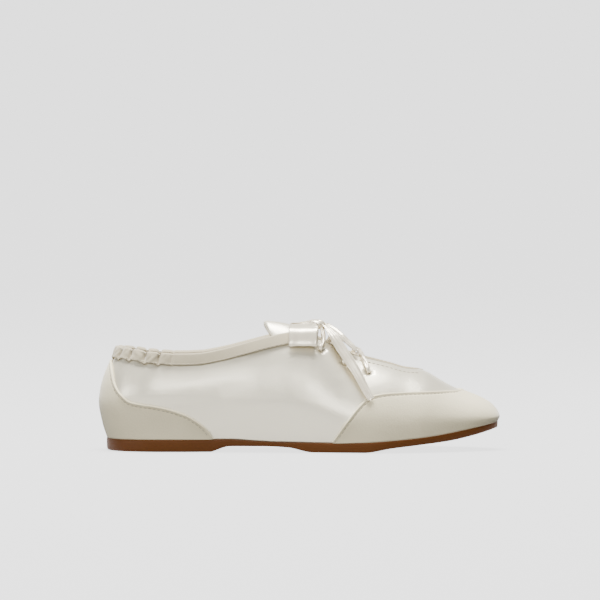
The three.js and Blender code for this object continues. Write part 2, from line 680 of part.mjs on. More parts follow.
// The lace's two halves start from a bar between the front eyelets and cross over each other.
const LATERAL_OVER = 0.6; // how far over the ridge the half that crosses on top passes
const MEDIAL_UNDER = -2.6;
const LACE_END = { // from the knot's centre
  x: 4, y: KNOT.width / 2 + LACE / 2 + CLEARANCE - 1.2, z: -LACE / 2 - 1.1,
};
function laceHalf(side) {
  const xs = EYELET.xs.map(gradeX);
  const points = [];
  xs.forEach((x, i) => {
    const here = i % 2 === 0 ? side : -side;
    points.push(...throughEyelet(i, here));
    if (i + 1 < xs.length) {
      points.push(...crossing(x, xs[i + 1], here, here === LATERAL ? LATERAL_OVER : MEDIAL_UNDER));
      return;
    }
    points.push(surfacePoint(x + 1, throat(x + 1) - 1.5, here, RIDE + 0.1));
    points.push(knotCentre.clone().add(new THREE.Vector3(LACE_END.x, here * LACE_END.y, LACE_END.z)));
  });
  return points;
}

function makeLacing() {
  const { x, z } = eyeletAt(0);
  const ridge = lastPoint(stationOf(x), Math.PI / 2, MEDIAL).z;
  const barZ = THREE.MathUtils.lerp(z, ridge, 0.55);
  const bar = [[LATERAL, barZ], [LATERAL, ridge], [MEDIAL, barZ]].map(([side, height]) =>
    surfacePoint(x + 1, height, side, UNDER));
  const points = [...laceHalf(LATERAL).toReversed(), ...bar, ...laceHalf(MEDIAL)];
  const curve = new THREE.CatmullRomCurve3(points, false, "centripetal");
  const section = new THREE.Shape().absarc(0, 0, LACE / 2, 0, 2 * Math.PI);
  const tube = new THREE.ExtrudeGeometry(section, { steps: 115, extrudePath: curve, curveSegments: 4 });
  return asGeometry(asSolid(tube));
}

addPiece("ribbon_lacing", makeLacing(), "satin");

function makeKnot() {
  const knot = new THREE.SphereGeometry(0.5, 16, 10);
  knot.rotateX(Math.PI / 2);
  knot.scale(KNOT.length, KNOT.width, KNOT.height);
  return asGeometry(asSolid(knot.translate(...knotCentre.toArray())));
}

addPiece("bow_knot", makeKnot(), "satin");

// A flat ribbon along a curve: widthAt and facing give its width and the way it faces, from 0 to 1.
function ribbon(points, thickness, widthAt, facing, steps) {
  const curve = new THREE.CatmullRomCurve3(points, false, "centripetal");
  const sections = [];
  for (let i = 0; i <= steps; i += 1) {
    const t = i / steps;
    const centre = curve.getPointAt(t);
    const along = curve.getTangentAt(t);
    const across = along.clone().cross(facing(t, centre)).normalize();
    const normal = across.clone().cross(along).multiplyScalar(thickness / 2);
    across.multiplyScalar(widthAt(t) / 2);
    sections.push([[-1, -1], [-1, 1], [1, 1], [1, -1]].map(([w, n]) =>
      centre.clone().addScaledVector(across, w).addScaledVector(normal, n)));
  }
  return loft(sections);
}

// The loop's way out from the knot, down, and back under itself: x, z and the gap from the satin.
const LOOP_WAY = [
  [133.5, 79.8, 6.5], [130.8, 78.8, 8], [129.9, 76.6, 9.4], [129.7, 72.5, 7.5], [129.7, 68.6, 5.6],
  [129.7, 66.9, 4.4], [129.7, 68.3, 3.7], [129.8, 72.3, 5], [130.6, 75.8, 5.6], [133, 77.9, 4.6],
];
const LOOP_ROOT = { back: 2, out: 1.6, apart: 1.4 }; // where its two ends meet the knot's side
const LOOP_GATHER = 0.24; // the share of its length by which it is fully wide

function makeLoop(side) {
  const root = (up) => knotCentre.clone().add(
    new THREE.Vector3(-LOOP_ROOT.back, side * (KNOT.width / 2 + LOOP_ROOT.out), up * LOOP_ROOT.apart),
  );
  const beside = ([x, z, gap]) => {
    const station = stationOf(gradeX(x));
    const p = lastPoint(station, angleAt(station, gradeZ(z)), side);
    return new THREE.Vector3(p.x, p.y + side * gap, gradeZ(z));
  };
  const points = [root(1), ...LOOP_WAY.map(beside), root(-1)];
  const fullness = (t) => smooth(Math.min(t, 1 - t) / LOOP_GATHER);
  const widthAt = (t) => THREE.MathUtils.lerp(RIBBON.gathered, RIBBON.width, fullness(t));
  const across = new THREE.Vector3(1, 0, 0);
  const curve = new THREE.CatmullRomCurve3(points, false, "centripetal");
  return ribbon(points, RIBBON.thickness, widthAt, (t) => curve.getTangentAt(t).cross(across), 26);
}

// A tail's way over the satin: x, z and its clearance over the lace.
const SIDE_TAIL = [
  [145.5, 70.0, 2.6], [151.8, 61.8, 1.9], [158.5, 53.6, 1.5], [164.6, 45.4, 1.2], [170, 36, 0.6],
  [172.5, 32.6, 0.4],
];
const TOP_TAIL = [[149.5, 69.5, 2.8], [155, 64.8, 2.8], [159.5, 61.5, 2.4], [161.8, 60, 1.8]];
const TAIL = { gathered: 3.5, full: 0.3, taper: 0.35 }; // full: the share of its length by which it is wide

function makeTail(route, startAt) {
  const start = knotCentre.clone().add(startAt);
  const over = ([x, z], offset) => surfacePoint(gradeX(x), gradeZ(z), LATERAL, offset);
  const places = route.map((place) => over(place, LACE + place[2]));
  const outwards = (t) => {
    const place = route[Math.min(route.length - 1, Math.floor(t * route.length))];
    return over(place, 2).sub(over(place, 0));
  };
  const widthAt = (t) =>
    THREE.MathUtils.lerp(TAIL.gathered, TAIL_WIDTH, smooth(t / TAIL.full)) * (1 - TAIL.taper * t);
  return ribbon([start, ...places], RIBBON.thickness, widthAt, outwards, 16);
}

addPiece("bow_loop_lateral", makeLoop(LATERAL), "satin");
addPiece("bow_loop_medial", makeLoop(MEDIAL), "satin");
const SIDE_START = new THREE.Vector3(4.4, -KNOT.width / 2 - 0.9, 0.2);
const TOP_START = new THREE.Vector3(KNOT.length / 2 + 0.7, -2, 0.5);
addPiece("bow_tail_side", makeTail(SIDE_TAIL, SIDE_START), "satin");
addPiece("bow_tail_top", makeTail(TOP_TAIL, TOP_START), "satin");

// ---------------------------------------------------------------- the frame
// The origin is on the ground, under the middle of the whole shoe.
const box = new THREE.Box3().setFromObject(shoe);
const centre = box.getCenter(new THREE.Vector3());
shoe.position.set(-centre.x, -centre.y, 0);

export default shoe;
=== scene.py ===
# %% [markdown]
# # A lace-up satin ballet slipper
# The finished shoe is made round a fixed frame: the same pieces as plain solids, with the bodies and
# joints that move them. This file gives each piece its real surface: satin that is stretched over the
# foot form, a casing gathered by elastic, matte overlays with topstitching, ribbon and gum rubber.

# %% Load the frame
import math

import bpy
import numpy as np
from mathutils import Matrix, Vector


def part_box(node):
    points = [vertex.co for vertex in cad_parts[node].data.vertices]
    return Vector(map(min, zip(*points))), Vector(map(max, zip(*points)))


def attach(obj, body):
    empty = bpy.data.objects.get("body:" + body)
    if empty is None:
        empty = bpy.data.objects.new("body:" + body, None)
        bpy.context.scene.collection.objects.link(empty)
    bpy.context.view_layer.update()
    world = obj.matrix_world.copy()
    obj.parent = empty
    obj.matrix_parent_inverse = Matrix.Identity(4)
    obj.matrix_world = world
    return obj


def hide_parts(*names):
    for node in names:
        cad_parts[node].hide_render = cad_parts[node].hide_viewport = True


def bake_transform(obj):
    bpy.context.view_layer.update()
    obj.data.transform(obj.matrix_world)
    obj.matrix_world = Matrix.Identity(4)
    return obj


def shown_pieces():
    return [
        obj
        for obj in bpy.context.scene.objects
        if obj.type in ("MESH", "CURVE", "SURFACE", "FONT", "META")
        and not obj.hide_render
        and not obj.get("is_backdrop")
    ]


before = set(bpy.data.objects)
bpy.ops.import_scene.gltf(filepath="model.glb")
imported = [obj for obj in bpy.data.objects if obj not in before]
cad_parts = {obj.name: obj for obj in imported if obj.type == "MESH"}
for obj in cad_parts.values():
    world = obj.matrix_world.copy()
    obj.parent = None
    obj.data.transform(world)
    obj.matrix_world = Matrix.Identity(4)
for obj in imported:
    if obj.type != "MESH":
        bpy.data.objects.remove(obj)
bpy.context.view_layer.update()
MM = 0.001

# %% [markdown]
# ## The camera, the floor and the light
# A shoe is shown from its side by a long lens far away, so that it keeps its true outline. The floor
# rises into a backdrop behind, in one curved sheet of pale paper that glows a little, so that it stays even.
# The light is a big soft box overhead, a small one in front that draws the satin's highlight, and a weak one
# low on the left that rounds the heel. The paper doesn't light the shoe: its glow would flatten the satin.

# %% Camera and stage
AIM = Vector((0.0006, 0.0, 0.0948))
VIEW_WIDTH = 0.3806
DISTANCE = 3.2
ELEVATION = math.radians(1.8)
LENS_SENSOR = 36.0


def make_camera():
    back = Vector((0, -math.cos(ELEVATION), math.sin(ELEVATION)))
    bpy.ops.object.camera_add(location=AIM + back * DISTANCE)
    camera = bpy.context.object
    camera.rotation_euler = (-back).to_track_quat("-Z", "Y").to_euler()
    camera.data.sensor_width = LENS_SENSOR
    camera.data.lens = LENS_SENSOR * DISTANCE / VIEW_WIDTH
    bpy.context.scene.camera = camera


LIT_POINT = Vector((0, 0, 0.03))
LIGHTS = {  # place, width, height and power in watts
    "overhead_box": ((-0.1, 0.1, 1.9), 1.1, 1.1, 165),
    "key_box": ((0.0, -1.90, 0.80), 0.34, 0.30, 20),
    "heel_box": ((-1.45, -1.0, 0.40), 0.7, 0.4, 13),
}
ROOM_LIGHT = 0.31


def make_light(name, place, wide, tall, power):
    bpy.ops.object.light_add(type="AREA", location=place)
    light = bpy.context.object
    light.name = name
    light.data.shape = "RECTANGLE"
    light.data.size = wide
    light.data.size_y = tall
    light.data.energy = power
    light.rotation_euler = (Vector(place) - LIT_POINT).to_track_quat("Z", "Y").to_euler()


PAPER_GLOW = 2.25
PAPER_GREY = 0.13
SPREAD = 6.0
BACKDROP_START, BACKDROP_RADIUS = 3.4, 1.5
UNDER_THE_SOLE = -0.0002


def make_stage():
    bpy.ops.mesh.primitive_grid_add(x_subdivisions=2, y_subdivisions=60, size=2 * SPREAD)
    floor = bpy.context.object
    floor.name = "stage_floor"
    for v in floor.data.vertices:
        past = v.co.y - BACKDROP_START
        if past > 0:
            turn = min(past / BACKDROP_RADIUS, math.pi / 2)
            wall = max(0.0, past - BACKDROP_RADIUS * math.pi / 2)
            v.co.y = BACKDROP_START + BACKDROP_RADIUS * math.sin(turn)
            v.co.z = BACKDROP_RADIUS * (1 - math.cos(turn)) + wall
    bpy.ops.object.shade_smooth()
    paper = bpy.data.materials.new("pale_paper")
    paper.use_nodes = True
    sockets = paper.node_tree.nodes["Principled BSDF"].inputs
    sockets["Base Color"].default_value = (PAPER_GREY, PAPER_GREY, PAPER_GREY, 1)
    sockets["Roughness"].default_value = 0.95
    sockets["Specular IOR Level"].default_value = 0.1
    sockets["Emission Color"].default_value = (1, 1, 1, 1)
    sockets["Emission Strength"].default_value = PAPER_GLOW
    floor.data.materials.append(paper)
    floor.location.z = UNDER_THE_SOLE
    floor.visible_diffuse = False
    floor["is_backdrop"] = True


def make_room():
    world = bpy.data.worlds.new("studio")
    world.use_nodes = True
    background = world.node_tree.nodes["Background"].inputs
    background["Color"].default_value = (0.80, 0.80, 0.80, 1)
    background["Strength"].default_value = ROOM_LIGHT
    bpy.context.scene.world = world


bpy.ops.object.select_all(action="DESELECT")
make_camera()
make_stage()
for light_name, light in LIGHTS.items():
    make_light(light_name, *light)
make_room()
print("lights", list(LIGHTS))

# %% [markdown]
# ## Shader arithmetic
# A material is easier to read as an expression than as a picture of nodes. `Value` wraps a socket, so
# that `1 - mask * 0.2` adds its own Math nodes, and `Finish` holds one material and adds any other node.


# %% Shader helpers
class Value:
    """A number that varies over a surface."""

    def __init__(self, tree, socket):
        self.tree = tree
        self.socket = socket

    def math(self, operation, other, flipped=False):
        node = self.tree.nodes.new("ShaderNodeMath")
        node.operation = operation
        for slot, term in zip(node.inputs, (other, self) if flipped else (self, other)):
            if isinstance(term, Value):
                self.tree.links.new(term.socket, slot)
            else:
                slot.default_value = term
        return Value(self.tree, node.outputs[0])

    def __add__(self, other):
        return self.math("ADD", other)

    def __mul__(self, other):
        return self.math("MULTIPLY", other)

    def __sub__(self, other):
        return self.math("SUBTRACT", other)

    def __rsub__(self, other):
        return self.math("SUBTRACT", other, flipped=True)

    __radd__ = __add__
    __rmul__ = __mul__


class Finish:
    """One material: its constants are set on the shader, and what varies is linked to it."""

    def __init__(self, name, **constants):
        self.material = bpy.data.materials.new(name)
        self.material.use_nodes = True
        self.tree = self.material.node_tree
        self.shader = self.tree.nodes["Principled BSDF"]
        for socket, value in constants.items():
            self.shader.inputs[socket.replace("_", " ")].default_value = value

    def node(self, kind, settings=None, output=0, **inputs):
        node = self.tree.nodes.new("ShaderNode" + kind)
        for key, value in (settings or {}).items():
            if key == "stops":
                ramp = node.color_ramp
                for element, (place, colour) in zip(ramp.elements, value):
                    element.position = place
                    element.color = colour
            else:
                setattr(node, key, value)
        for socket, value in inputs.items():
            slot = node.inputs[socket.replace("_", " ")]
            if isinstance(value, Value):
                self.tree.links.new(value.socket, slot)
            else:
                slot.default_value = value
        return Value(self.tree, node.outputs[output])

    def link(self, socket, value):
        self.tree.links.new(value.socket, self.shader.inputs[socket])

    def place(self, kind="Object", scale=(1, 1, 1)):
        coordinates = self.tree.nodes.new("ShaderNodeTexCoord")
        return self.node("Mapping", Vector=Value(self.tree, coordinates.outputs[kind]), Scale=scale)

    def noise(self, scale, detail=3.0, kind="Object", stretch=(1, 1, 1)):
        return self.node("TexNoise", Vector=self.place(kind, stretch), Scale=scale, Detail=detail)

    def tint(self, amount, low, high):
        """The base colour runs from low to high with an amount from 0 to 1."""
        mixed = self.node("Mix", {"data_type": "RGBA"}, output=2)
        mix = mixed.socket.node
        self.tree.links.new(amount.socket, mix.inputs[0])
        mix.inputs[6].default_value = (*low, 1)
        mix.inputs[7].default_value = (*high, 1)
        self.link("Base Color", mixed)

    def relief(self, *layers):
        """Bumps on bumps: each layer is (height, distance in metres)."""
        normal = None
        for height, distance in layers:
            inputs = {"Height": height, "Distance": distance, "Strength": 1.0}
            if normal is not None:
                inputs["Normal"] = normal
            normal = self.node("Bump", **inputs)
        self.link("Normal", normal)


# %% [markdown]
# ## Finishes
# Satin is a float weave: its long threads lie side by side on the face, so it is smooth along them and
# its light runs in streaks. The base is cream, partly metallic for the broad, tinted shine of packed
# threads, under a thin soft coat. The streaks are noise drawn out along the cloth's own U and V, which each
# piece carries in millimetres. They vary the roughness, and they also lighten the base colour: that part is
# painted sheen, mixed with the threads' own tone. The overlays and the band are matte: they scatter the
# light.

# %% Satin, matte cloth, rubber and the inside finishes
CREAM = (0.80, 0.75, 0.60)
CREAM_DARK = (0.72, 0.66, 0.50)


def make_satin(name, light=CREAM, dark=CREAM_DARK, roughness=0.34):
    satin = Finish(
        name, Roughness=roughness, Metallic=0.45, Specular_IOR_Level=0.6, Coat_Weight=0.15,
        Coat_Roughness=0.25,
    )
    sheen_streaks = satin.noise(1.0, 4.0, "UV", (0.25, 3.0, 1))
    threads = satin.noise(1.0, 2.0, "UV", (1.2, 14.0, 1))
    buckles = satin.noise(34.0, 2.0)
    # The colour is lighter along the sheen streaks: painted sheen, mixed with the fine threads' own tone.
    satin.tint(sheen_streaks * 0.6 + threads * 0.4, dark, light)
    satin.link("Roughness", roughness - 0.05 + sheen_streaks * 0.10)
    satin.relief((buckles, 0.0009), (sheen_streaks, 0.00006), (threads, 0.00003))
    return satin.material


def make_matte_cloth(name, light, dark, grain=900.0, depth=0.00012):
    cloth = Finish(name, Roughness=0.86, Sheen_Weight=0.35, Sheen_Roughness=0.5, Specular_IOR_Level=0.25)
    mottle = cloth.noise(60.0, 4.0)
    weave = cloth.noise(grain, 3.0)
    nap = cloth.noise(grain * 3, 2.0)
    cloth.tint(mottle * 0.35 + weave * 0.65, dark, light)
    cloth.link("Roughness", 0.78 + weave * 0.16)
    cloth.relief((mottle, 0.0004), (weave, depth), (nap, depth / 3))
    return cloth.material


def make_gum_rubber(name):
    rubber = Finish(name, Roughness=0.5, Specular_IOR_Level=0.18, Subsurface_Weight=0.05)
    rubber.shader.inputs["Subsurface Scale"].default_value = 0.004
    cloud = rubber.noise(26.0, 4.0)
    pits = rubber.noise(1600.0, 2.0)
    along = rubber.node("SeparateXYZ", Vector=rubber.place())
    rubber.tint(cloud * 0.35 + along * 0.7 + 0.28, (0.060, 0.016, 0.0004), (0.125, 0.039, 0.0015))
    rubber.link("Roughness", 0.48 + cloud * 0.14)
    rubber.relief((cloud, 0.0002), (pits, 0.00005))
    return rubber.material


def make_plain(name, light, dark, scale, roughness=0.8, depth=0.0001, **more):
    plain = Finish(name, Roughness=roughness, **more)
    cells = plain.noise(scale, 3.0)
    plain.tint(cells, dark, light)
    plain.link("Roughness", roughness - 0.08 + cells * 0.16)
    plain.relief((cells, depth))
    return plain.material


SATIN = make_satin("ivory_satin")
RIBBON = make_satin("ribbon_satin", (0.82, 0.755, 0.61), (0.72, 0.63, 0.46), 0.30)
SUEDE = make_matte_cloth("matte_overlay_cloth", (0.80, 0.72, 0.50), (0.70, 0.62, 0.41))
LINING = make_matte_cloth("lining_cloth", (0.76, 0.70, 0.56), (0.64, 0.575, 0.44), 1400.0, 0.00006)
SOCK = make_matte_cloth("sock_cloth", (0.72, 0.64, 0.49), (0.61, 0.52, 0.38), 1100.0, 0.00008)
GUM = make_gum_rubber("gum_rubber")
# The thread is drawn darker than its white cotton: painted shade, for the dark lines along the seams.
THREAD_WITH_PAINTED_SEAM_SHADE = make_plain("cotton_thread_with_painted_seam_shade", (0.52, 0.465, 0.34), (0.38, 0.33, 0.22), 2600.0, 0.6)
FELT = (0.66, 0.63, 0.55), (0.55, 0.52, 0.45)
INSIDE = {
    "shank": make_plain("spring_steel", (0.56, 0.57, 0.59), (0.42, 0.43, 0.45), 700.0, 0.35, Metallic=1.0),
    "bottom_filler": make_plain("cork_filler", (0.42, 0.27, 0.14), (0.25, 0.15, 0.07), 500.0),
    "insole_board": make_plain("fibre_board", (0.50, 0.38, 0.24), (0.38, 0.27, 0.16), 900.0),
    "insole_foam": make_plain("insole_foam", (0.72, 0.70, 0.64), (0.60, 0.57, 0.50), 1200.0),
    "heel_counter": make_plain("counter_felt", *FELT, 900.0),
    "toe_puff": make_plain("puff_felt", (0.64, 0.61, 0.53), (0.54, 0.50, 0.43), 900.0),
    "eyelet_reinforcement_lateral": make_plain("stay_felt", *FELT, 900.0),
    "eyelet_reinforcement_medial": make_plain("stay_felt_inner", *FELT, 900.0),
    "topline_elastic": make_plain("elastic_webbing", (0.74, 0.72, 0.67), (0.62, 0.60, 0.55), 1500.0),
}
for node_name, finish in INSIDE.items():
    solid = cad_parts[node_name]
    solid.data.materials.clear()
    solid.data.materials.append(finish)
print("finishes", len(bpy.data.materials))

# %% [markdown]
# ## The foot form
# Every part of a slipper's upper is pulled over one form, the last, so the last comes first. It isn't a
# piece of the shoe: it is a formula that gives a point for a station (0 at the heel, 1 at the toe), an
# angle (0 at the sole's edge, a quarter turn at the top) and a side. Each cloth is then an offset of it.
# The profiles are those of the frame, in millimetres from the heel; a monotone cubic runs through them.


# %% Curves and profiles
def through(points):
    """A smooth curve through (x, y) points that never overshoots them."""
    xs, ys = np.array(points, float).T
    slope = np.diff(ys) / np.diff(xs)
    before, after = slope[:-1], slope[1:]
    same_way = before * after > 0
    mean = 2 * before * after / np.where(same_way, before + after, 1)
    tangent = np.concatenate([slope[:1], np.where(same_way, mean, 0), slope[-1:]])

    def curve(x):
        x = np.clip(x, xs[0], xs[-1])
        i = np.clip(np.searchsorted(xs, x, side="right") - 1, 0, len(xs) - 2)
        h = xs[i + 1] - xs[i]
        t = (x - xs[i]) / h
        ends = ys[i] * (2 * t**3 - 3 * t**2 + 1) + ys[i + 1] * (3 * t**2 - 2 * t**3)
        return ends + h * (tangent[i] * (t**3 - 2 * t**2 + t) + tangent[i + 1] * (t**3 - t**2))

    return curve


def smooth(t):
    t = np.clip(t, 0, 1)
    return t * t * (3 - 2 * t)


HEEL_X, TOE_X = 6.4, 252.2


def station_x(station):
    return HEEL_X + (TOE_X - HEEL_X) * (1 - np.cos(np.pi * np.asarray(station))) / 2


def station_of(x):
    return np.arccos(np.clip(1 - 2 * (np.asarray(x) - HEEL_X) / (TOE_X - HEEL_X), -1, 1)) / np.pi


def over_stations(points):
    return through([(float(station_of(np.clip(x, HEEL_X, TOE_X))), value) for x, value in points])


feather_z = through([
    (85, 7.9), (115, 6.2), (150, 6.0), (170, 6.6), (190, 7.9), (210, 9.9), (230, 13.2), (253, 17.8),
])
feather_half = over_stations([
    (0, 0), (9, 12.6), (20, 24.6), (38, 29.4), (52, 29.4), (75, 26.6), (100, 24.4), (115, 25.2), (135, 29.6),
    (155, 35.4), (177, 39.7), (200, 36.6), (215, 31.6), (230, 24.6), (240, 18.6), (247, 12.4), (253, 0),
])
body_half = over_stations([
    (0, 0), (9, 13.5), (20, 26.0), (38, 31.0), (60, 30.6), (100, 29.4), (135, 33.4), (177, 40.6),
    (200, 37.6), (215, 32.8), (230, 25.8), (240, 19.8), (247, 13.4), (253, 0),
])
centre_y = through([
    (20, 0), (75, -1.2), (115, -4.0), (135, -4.4), (165, -1.5), (200, 2.2), (230, 3.7), (252, 2.6),
])
last_height = over_stations([
    (0, 78), (95, 78.4), (109, 79.2), (120, 78.3), (130, 75.8), (139, 72.4), (147, 67.2), (155, 61.4),
    (163, 57.0), (173.5, 53.4), (185, 49.2), (195, 45.0), (206.5, 40.6), (221, 30.2), (231, 23.4),
    (240, 17.6), (247, 11.6), (253, 0),
])
squareness = through([(60, 3.0), (130, 2.5), (165, 2.0), (230, 2.2)])
heel_lean = through([(8, 0), (17, -2.9), (31, -5.3), (39, -4.3), (48, -1.8), (57, 2.2), (66, 5.6), (86, 9)])
topline = through([
    (8, 66.5), (22, 65.2), (33, 63.4), (52, 62.2), (64, 62.6), (78, 65.0), (94, 69.1), (109, 73.0),
    (122, 75.6), (139, 77.0),
])
throat = through([
    (139, 71.5), (147, 67.8), (155, 63.8), (162.7, 60.5), (173.5, 57.6), (185, 54.6), (195, 51.8),
    (206.5, 50.8),
])
heel_seam = through([
    (8.6, 57), (11.5, 43.1), (15.5, 36.6), (21.9, 31.7), (38.8, 28.9), (54.9, 24.3), (67.2, 16.5),
    (73.9, 8.6),
])
toe_seam = through([
    (147.9, 6.8), (156.5, 19.2), (167.1, 31.7), (171.6, 35.2), (184, 37.2), (205, 37.6), (230, 37.3),
])
THROAT_BACK, THROAT_FRONT = 139.0, 206.5
EDGE_BELOW_TOPLINE = 5.5
LATERAL, MEDIAL = -1.0, 1.0
RIDGE_SHIFT = 3.0
print("heel top", float(topline(8)), "toe height", float(last_height(station_of(230))))

# %% [markdown]
# ## A point on the form
# Stations past either end fold back to the other side, and so do angles past the ridge, so a step across
# the heel, the toe or the ridge stays on the surface and its normal can be measured anywhere.


# %% The last's surface
def last_point(station, angle, side):
    station, angle, side = np.broadcast_arrays(station, angle, side)
    side = np.where((station < 0) | (station > 1), -side, side)
    station = np.where(station < 0, -station, np.where(station > 1, 2 - station, station))
    side = np.where(angle > np.pi / 2, -side, side)
    angle = np.where(angle > np.pi / 2, np.pi - angle, angle)
    x = station_x(station)
    rise = np.clip(np.sin(angle), 0, 1) ** (2 / squareness(x))
    half = feather_half(station) + (body_half(station) - feather_half(station)) * smooth(rise / 0.35)
    above = rise * last_height(station)
    z = feather_z(x) + above
    leaning = heel_lean(z) * (1 - smooth((x - HEEL_X) / 58))
    overhang = 2.2 * smooth((x - 225) / 27) * smooth(above / 4)
    y = centre_y(x) + side * half * np.cos(angle) + RIDGE_SHIFT * rise**3
    return np.stack([x + leaning + overhang, y, z], axis=-1)


def offset_point(station, angle, side, offset):
    """The last's point moved out along the surface's normal."""
    step = 2e-3
    along = last_point(station + step, angle, side) - last_point(station - step, angle, side)
    up = last_point(station, angle + step, side) - last_point(station, np.maximum(angle - step, 0), side)
    normal = np.cross(along, up) * -np.asarray(side)[..., None]
    normal = normal / np.maximum(np.linalg.norm(normal, axis=-1, keepdims=True), 1e-9)
    return last_point(station, angle, side) + normal * np.asarray(offset)[..., None]


def angle_at(station, z):
    x = station_x(station)
    rise = np.clip((z - feather_z(x)) / np.maximum(last_height(station), 1e-6), 0, 1)
    return np.arcsin(rise ** (squareness(x) / 2))


def angle_on_line(station, line, below=0.0):
    """The angle at which a station meets a line of the side view, or a parallel below it."""
    station, below = np.broadcast_arrays(station, below)
    low = feather_z(station_x(station)) * 1.0
    high = low + last_height(station)
    for _ in range(30):
        middle = (low + high) / 2
        under = line(last_point(station, angle_at(station, middle), LATERAL)[..., 0]) - below > middle
        low = np.where(under, middle, low)
        high = np.where(under, high, middle)
    over_ridge = high - feather_z(station_x(station)) > last_height(station) - 1e-3
    return np.where(over_ridge, np.pi / 2, angle_at(station, low))


def surface_point(x, z, side, offset):
    station = station_of(x)
    return offset_point(station, angle_at(station, z), np.asarray(side, float), np.asarray(offset, float))


KNOT = {"x": 138.0, "z": 79.4, "length": 11.0, "width": 13.0, "height": 6.4}
knot_centre = np.array([KNOT["x"], float(centre_y(KNOT["x"])) + RIDGE_SHIFT, KNOT["z"]])
knot_low, knot_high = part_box("bow_knot")
ORIGIN = knot_centre - np.array((knot_low + knot_high) / 2) / MM
print("the frame's origin, in millimetres from the heel", ORIGIN.round(3))

# %% [markdown]
# ## From a grid to a piece
# Cloth over a form is a grid of threads, so each piece begins as a flat grid whose columns run round the
# shoe and whose rows run up it. Its corners are moved onto the form, its seams are merged, and its UV map
# is in millimetres of cloth. A tube is a grid as well: its last row meets its first.


# %% Helpers for grids
def deselect():
    if bpy.context.object and bpy.context.object.mode != "OBJECT":
        bpy.ops.object.mode_set(mode="OBJECT")
    bpy.ops.object.select_all(action="DESELECT")


def only(piece):
    deselect()
    piece.select_set(True)
    bpy.context.view_layer.objects.active = piece


def to_frame(points):
    return (np.asarray(points, float) - ORIGIN) * MM


def run_along(points):
    """The distance of each point of a row from its first one."""
    return np.concatenate([[0], np.linalg.norm(np.diff(points, axis=0), axis=1).cumsum()])


def run_length(points, axis):
    return float(np.linalg.norm(np.diff(points, axis=axis), axis=-1).sum(axis=axis).mean())


def lay_grid(name, points, finish):
    """A grid with its corners at points[column][row], in millimetres."""
    columns, rows = points.shape[:2]
    deselect()
    bpy.ops.mesh.primitive_grid_add(x_subdivisions=columns - 1, y_subdivisions=rows - 1, size=1)
    piece = bpy.context.object
    piece.name = name
    piece.data.name = name
    piece.data.vertices.foreach_set("co", to_frame(points).transpose(1, 0, 2).ravel())
    cloth = np.empty(len(piece.data.loops) * 2)
    piece.data.uv_layers.active.data.foreach_get("uv", cloth)
    cloth = cloth.reshape(-1, 2) * (run_length(points, 0), run_length(points, 1))
    piece.data.uv_layers.active.data.foreach_set("uv", cloth.ravel())
    piece.data.materials.append(finish)
    bpy.ops.object.shade_smooth()
    return piece


def merge_seams(piece, distance=0.00002):
    only(piece)
    bpy.ops.object.mode_set(mode="EDIT")
    bpy.ops.mesh.select_all(action="SELECT")
    bpy.ops.mesh.remove_doubles(threshold=distance)
    bpy.ops.mesh.dissolve_degenerate(threshold=distance / 4)
    bpy.ops.mesh.select_all(action="SELECT")
    bpy.ops.mesh.normals_make_consistent(inside=False)
    bpy.ops.object.mode_set(mode="OBJECT")


def thicken(piece, thickness):
    """A wall grown inwards from the cloth's face."""
    only(piece)
    wall = piece.modifiers.new("wall", "SOLIDIFY")
    wall.thickness = thickness * MM
    wall.offset = -1
    bpy.ops.object.modifier_apply(modifier=wall.name)


def finish_piece(piece, body, slot, *stands_for):
    if stands_for:
        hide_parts(*stands_for)
    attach(piece, body)
    print(piece.name, len(piece.data.polygons), "faces")


def rope_of(name, sections, finish):
    """A closed body from ring-shaped sections: each end is drawn together at its middle."""
    rings = np.concatenate([sections, sections[:, :1]], axis=1)
    poles = [section.mean(axis=0, keepdims=True) for section in (sections[0], sections[-1])]
    first, last = (np.repeat(pole, rings.shape[1], axis=0)[None] for pole in poles)
    piece = lay_grid(name, np.concatenate([first, rings, last]), finish)
    merge_seams(piece)
    return piece


def columns_round(x_to, count):
    """Stations and sides of columns: from the medial x_to, back round the heel, to the lateral one."""
    ahead = np.linspace(0.0, float(station_of(x_to)), count)
    stations = np.concatenate([ahead[::-1], ahead[1:]])
    return stations, np.where(np.arange(len(stations)) < count - 1, MEDIAL, LATERAL)


def angles_up(stations, sides, top, rows, crowd=1.0, bottom=0.0):
    """Angles [column][row] from the sole's edge to the top angle, evenly spaced along each column."""
    bottom = np.broadcast_to(bottom, top.shape)[:, None]
    fine = bottom + (top[:, None] - bottom) * np.linspace(0, 1, 240) ** 1.5
    points = last_point(stations[:, None], fine, sides[:, None])
    steps = np.linalg.norm(np.diff(points, axis=1), axis=2)
    run = np.concatenate([np.zeros((len(stations), 1)), steps.cumsum(axis=1)], axis=1)
    share = 1 - (1 - np.linspace(0, 1, rows)) ** crowd
    angles = np.array([np.interp(share * r[-1], r, a) for r, a in zip(run, fine)])
    return angles, run[:, -1:] * (1 - share)


# %% [markdown]
# ## The satin upper
# The real upper is one cut of satin, pulled down over the last and turned in under the sole. It is laid as
# a grid from the toe, back round the heel and forward to the toe; over the toe its two halves are merged
# on the ridge. The elastic gathers it, so short ripples fan out below the band; they only go inwards,
# because the overlays lie on its face. Over the heel counter the satin swells out, and there the overlay
# and its stitches follow it. Four rows turn in at the bottom, as the lasting margin does.


# %% Edges of the upper
def upper_edge(stations):
    """The angle of the upper's edge: under the casing, then along the throat, then at the ridge."""
    x = station_x(stations)
    quarters = angle_on_line(stations, topline, EDGE_BELOW_TOPLINE)
    vamp = angle_at(stations, throat(x))
    return np.where(x < THROAT_BACK, quarters, np.where(x < THROAT_FRONT, vamp, np.pi / 2))


